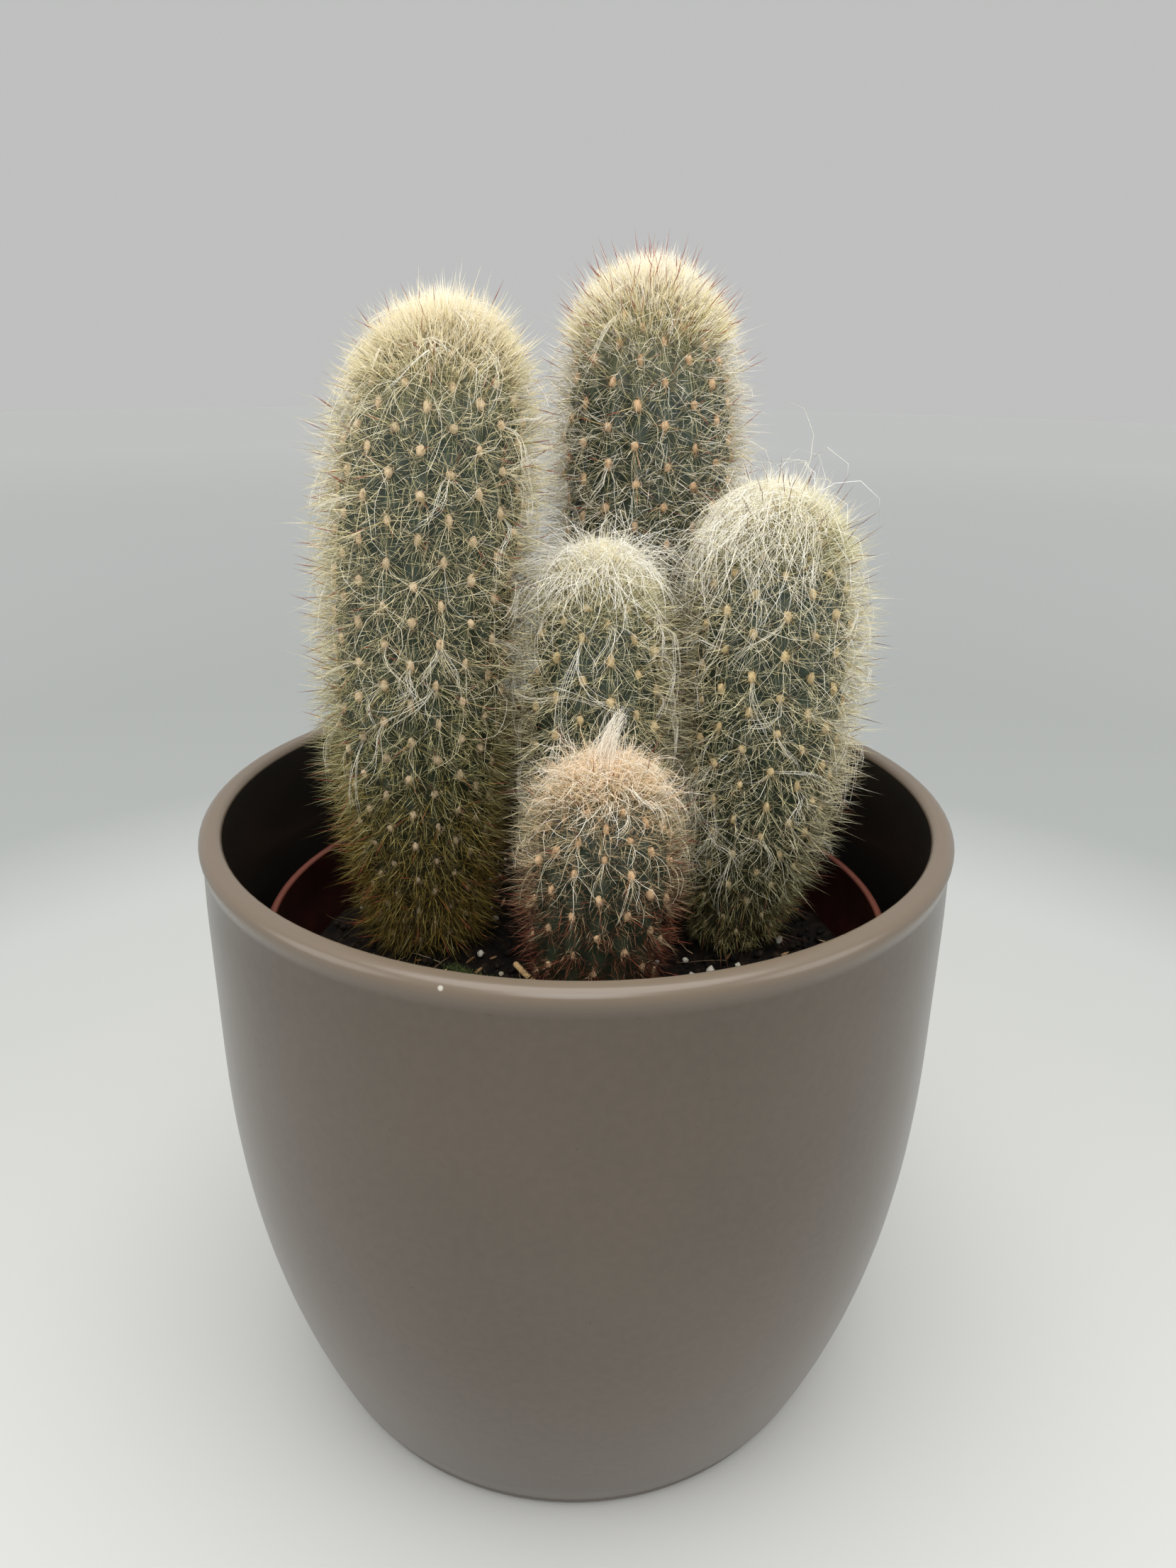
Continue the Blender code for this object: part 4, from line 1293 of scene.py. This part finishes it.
def locks(stem, downs, turns):
    """Locks of wavy hairs that keep together, as (paths, radius, tone, thin)."""
    def of_each(values):
        return values.repeat(LOCK_HAIRS)

    count = stem.locks * LOCK_HAIRS
    picked = draw.integers(0, len(downs), stem.locks)
    heading = of_each(draw.normal(0, 0.75, stem.locks))
    curl = [of_each(draw.uniform(*limits, stem.locks)) for limits in LOCK_CURL]
    length = of_each(draw.uniform(*LOCK_LENGTH[stem.palette], stem.locks)) * stem.hair_share()
    out = of_each(draw.uniform(*LOCK_OUT, stem.locks)) * stem.fur
    down = of_each(downs[picked]) + draw.normal(0, 0.0002, count)
    side = of_each(turns[picked]) + draw.normal(0, 0.0002, count) / (TURN * stem.radius)
    curl = (curl[0] * draw.uniform(0.85, 1.15, count), curl[1] * draw.uniform(0.92, 1.08, count),
            curl[2] + draw.normal(0, 0.18, count))
    paths = draped(stem, down, side, length * draw.uniform(0.6, 1.0, count), 7,
                   heading + draw.normal(0, 0.07, count), curl, out,
                   draw.normal(0, 0.0005, count))
    return (keep_clear(stem, paths), HAIR_RADIUS * draw.uniform(0.75, 1.15, count),
            draw.uniform(0.3, 1.0, count), 0.5)


def long_hairs(stem, downs, turns):
    """Wavy white hairs that hang over the spines, singly and in locks."""
    high = stem.height_at(downs) > 1.05 * stem.old
    made = Strands()
    made.add(*wisps(stem, downs[high], turns[high]))
    made.add(*locks(stem, downs[high], turns[high]))
    finish_on_stem(made, stem, "hairs", HAIR_COLOURS)


def grow(stem, roots, heading, length, pull, curl, lift):
    """Free strands: each sets off along its heading and is pulled over; curl makes it wave.

    Away from its root a strand stays at least lift outside its own stem, so it lies on the fur.
    """
    steps = WOOL_KNOTS - 1
    first, second = draw.normal(size=(2, *roots.shape))
    phase = draw.uniform(0, TURN, (len(roots), 1))
    pace = draw.uniform(2.5, 6.0, (len(roots), 1))
    step = (length / steps)[:, None]
    now = unit(heading)
    places = [roots]
    for k in range(steps):
        swing = pace * (k / steps) + phase
        wave = first * np.cos(swing) + second * np.sin(swing)
        now = unit(now + (pull + curl * wave) / steps)
        places.append(places[-1] + now * step)
    room = np.minimum(lift, 0.8 * step * np.arange(1, WOOL_KNOTS)) + BODY_ROOM
    return keep_clear(stem, np.stack(places, axis=1), room)


def crown_places(count, reach):
    """Random places round a tip, as (down, turn)."""
    down = TIP_CLEAR + reach * draw.uniform(0, 1, count) ** 0.7
    return down, draw.uniform(0, 1, count)


def crown_fur(stem, wool):
    """Straight hairs that stand up round the tip, as (roots, tips, radius, tone)."""
    count = wool.fur
    down, turn = crown_places(count, wool.fur_reach)
    heading = unit(stem.facing(down, turn)[0] + 0.3 * UP + 0.26 * draw.normal(size=(count, 3)))
    length = draw.uniform(0.65, 1.0, count) * wool.fur_length
    paths = keep_clear(stem, straight(stem.point(down, turn), heading, length))
    # Painted light: the tone is raised towards the tip to stand for the light from above on the
    # crown.
    tone = wool.fur_tone - 0.20 * down / wool.fur_reach + draw.normal(0, 0.07, count)
    radius = SPINE_RADIUS * draw.uniform(1.0, 1.5, count)
    return paths[:, 0], paths[:, 1], radius, np.clip(tone, 0.05, 0.98)


def crown_wool(stem):
    """Fur and curly wool on the tip, in the way that this stem's own looks."""
    wool = WOOL[stem.name]
    made = Strands()
    made.add_slivers(*crown_fur(stem, wool))
    count = stem.wool
    down, turn = crown_places(count, wool.reach)
    normal = stem.facing(down, turn)[0]
    heading = (normal + wool.upright * UP + np.array(wool.side)
               + 0.25 * draw.normal(size=(count, 3)))
    pull = wool.spread * unit(normal * np.array([1, 1, 0]) + 1e-6) - wool.fall * UP
    length = draw.uniform(*wool.length, count)
    paths = grow(stem, stem.point(down, turn), heading, length, pull, wool.curl, wool.lift)
    made.add(paths, HAIR_RADIUS * draw.uniform(0.8, 1.3, count), draw.uniform(*wool.tone, count),
             thin=0.5)
    if stem.name == "front":
        made.add(*front_tuft(stem))
    finish_on_stem(made, stem, "wool", SPINE_COLOURS[stem.palette])


def front_tuft(stem):
    """The front stem's wool drawn together into a feathery point, which bends over a little."""
    count = TUFT_STRANDS
    down = np.maximum(TUFT_REACH * np.sqrt(draw.uniform(0, 1, count)), TIP_CLEAR)
    roots = stem.point(down, draw.uniform(0, 1, count))
    ends = np.array(TUFT_TIP) + draw.normal(0, 0.0011, (count, 3))
    short = draw.uniform(0.45, 1.0, (count, 1))
    share = np.linspace(0, 1, WOOL_KNOTS)[None, :, None]
    swell = draw.normal(0, 0.0011, (count, 1, 3)) - np.array(TUFT_SWELL)
    paths = (roots[:, None] + (ends - roots)[:, None] * share * short[:, None]
             + swell * np.sin(math.pi * share))
    radius = HAIR_RADIUS * draw.uniform(0.8, 1.3, count)
    return paths, radius, draw.uniform(0.96, 1.0, count), 0.5


# Stage


def stage_floor():
    """A pale round floor, greyer away from the plant; the even light of the room is behind it."""
    look = Look("stage", 0.6)
    away = look.add("ShaderNodeVectorMath", {0: look.position()}, operation="LENGTH")["Value"]
    stops = [(radius / FLOOR_REACH, colour) for radius, colour in FLOOR_COLOURS]
    colour = look.ramp(look.scaled(away, 0.0, FLOOR_REACH), stops)
    corners = np.arange(FLOOR_CORNERS)
    points = level_ring(TURN * corners / FLOOR_CORNERS, FLOOR_REACH, 0.0)
    obj = build("stage_floor", points, [corners[None]], look.painted(colour))


def add_light(name, at, aim, size, power):
    data = bpy.data.lights.new(name, "AREA")
    data.shape = "DISK"
    data.size = size
    data.energy = power
    light = link(name, data)
    light.location = at
    light.rotation_euler = (Vector(aim) - Vector(at)).to_track_quat("-Z", "Y").to_euler()


def lights():
    """Four soft lights, and a room of even light."""
    for name, settings in LIGHTS.items():
        add_light(name, *settings)
    world = bpy.data.worlds.new("room")
    world.use_nodes = True
    background = world.node_tree.nodes["Background"]
    background.inputs["Color"].default_value = ROOM_COLOUR
    background.inputs["Strength"].default_value = ROOM_POWER
    bpy.context.scene.world = world
    bpy.context.scene.view_settings.view_transform = "Standard"


def camera():
    data = bpy.data.cameras.new("camera")
    data.lens = CAMERA_LENS
    data.clip_start = 0.01
    obj = link("camera", data)
    tilt = Matrix.Rotation(math.pi / 2 + CAMERA_PITCH, 4, "X")
    turn = Matrix.Rotation(CAMERA_TURN, 4, "Z")
    roll = Matrix.Rotation(CAMERA_ROLL, 4, "Z")
    obj.matrix_world = Matrix.Translation(CAMERA_AT) @ turn @ tilt @ roll
    bpy.context.scene.camera = obj


def main():
    for make in (camera, lights, stage_floor, cover_pot, nursery_pot, soil, crumbs, perlite, bark,
                 rootlets, moss, straw):
        make()
    for stem in STEMS:
        downs, turns = areoles(stem)
        woolly = felt(stem)
        stem_body(stem)
        areole_pads(stem, downs, turns, woolly)
        areole_felt(stem, downs, turns, woolly)
        spines(stem, downs, turns)
        central_spines(stem, downs, turns)
        long_hairs(stem, downs, turns)
        crown_wool(stem)


main()
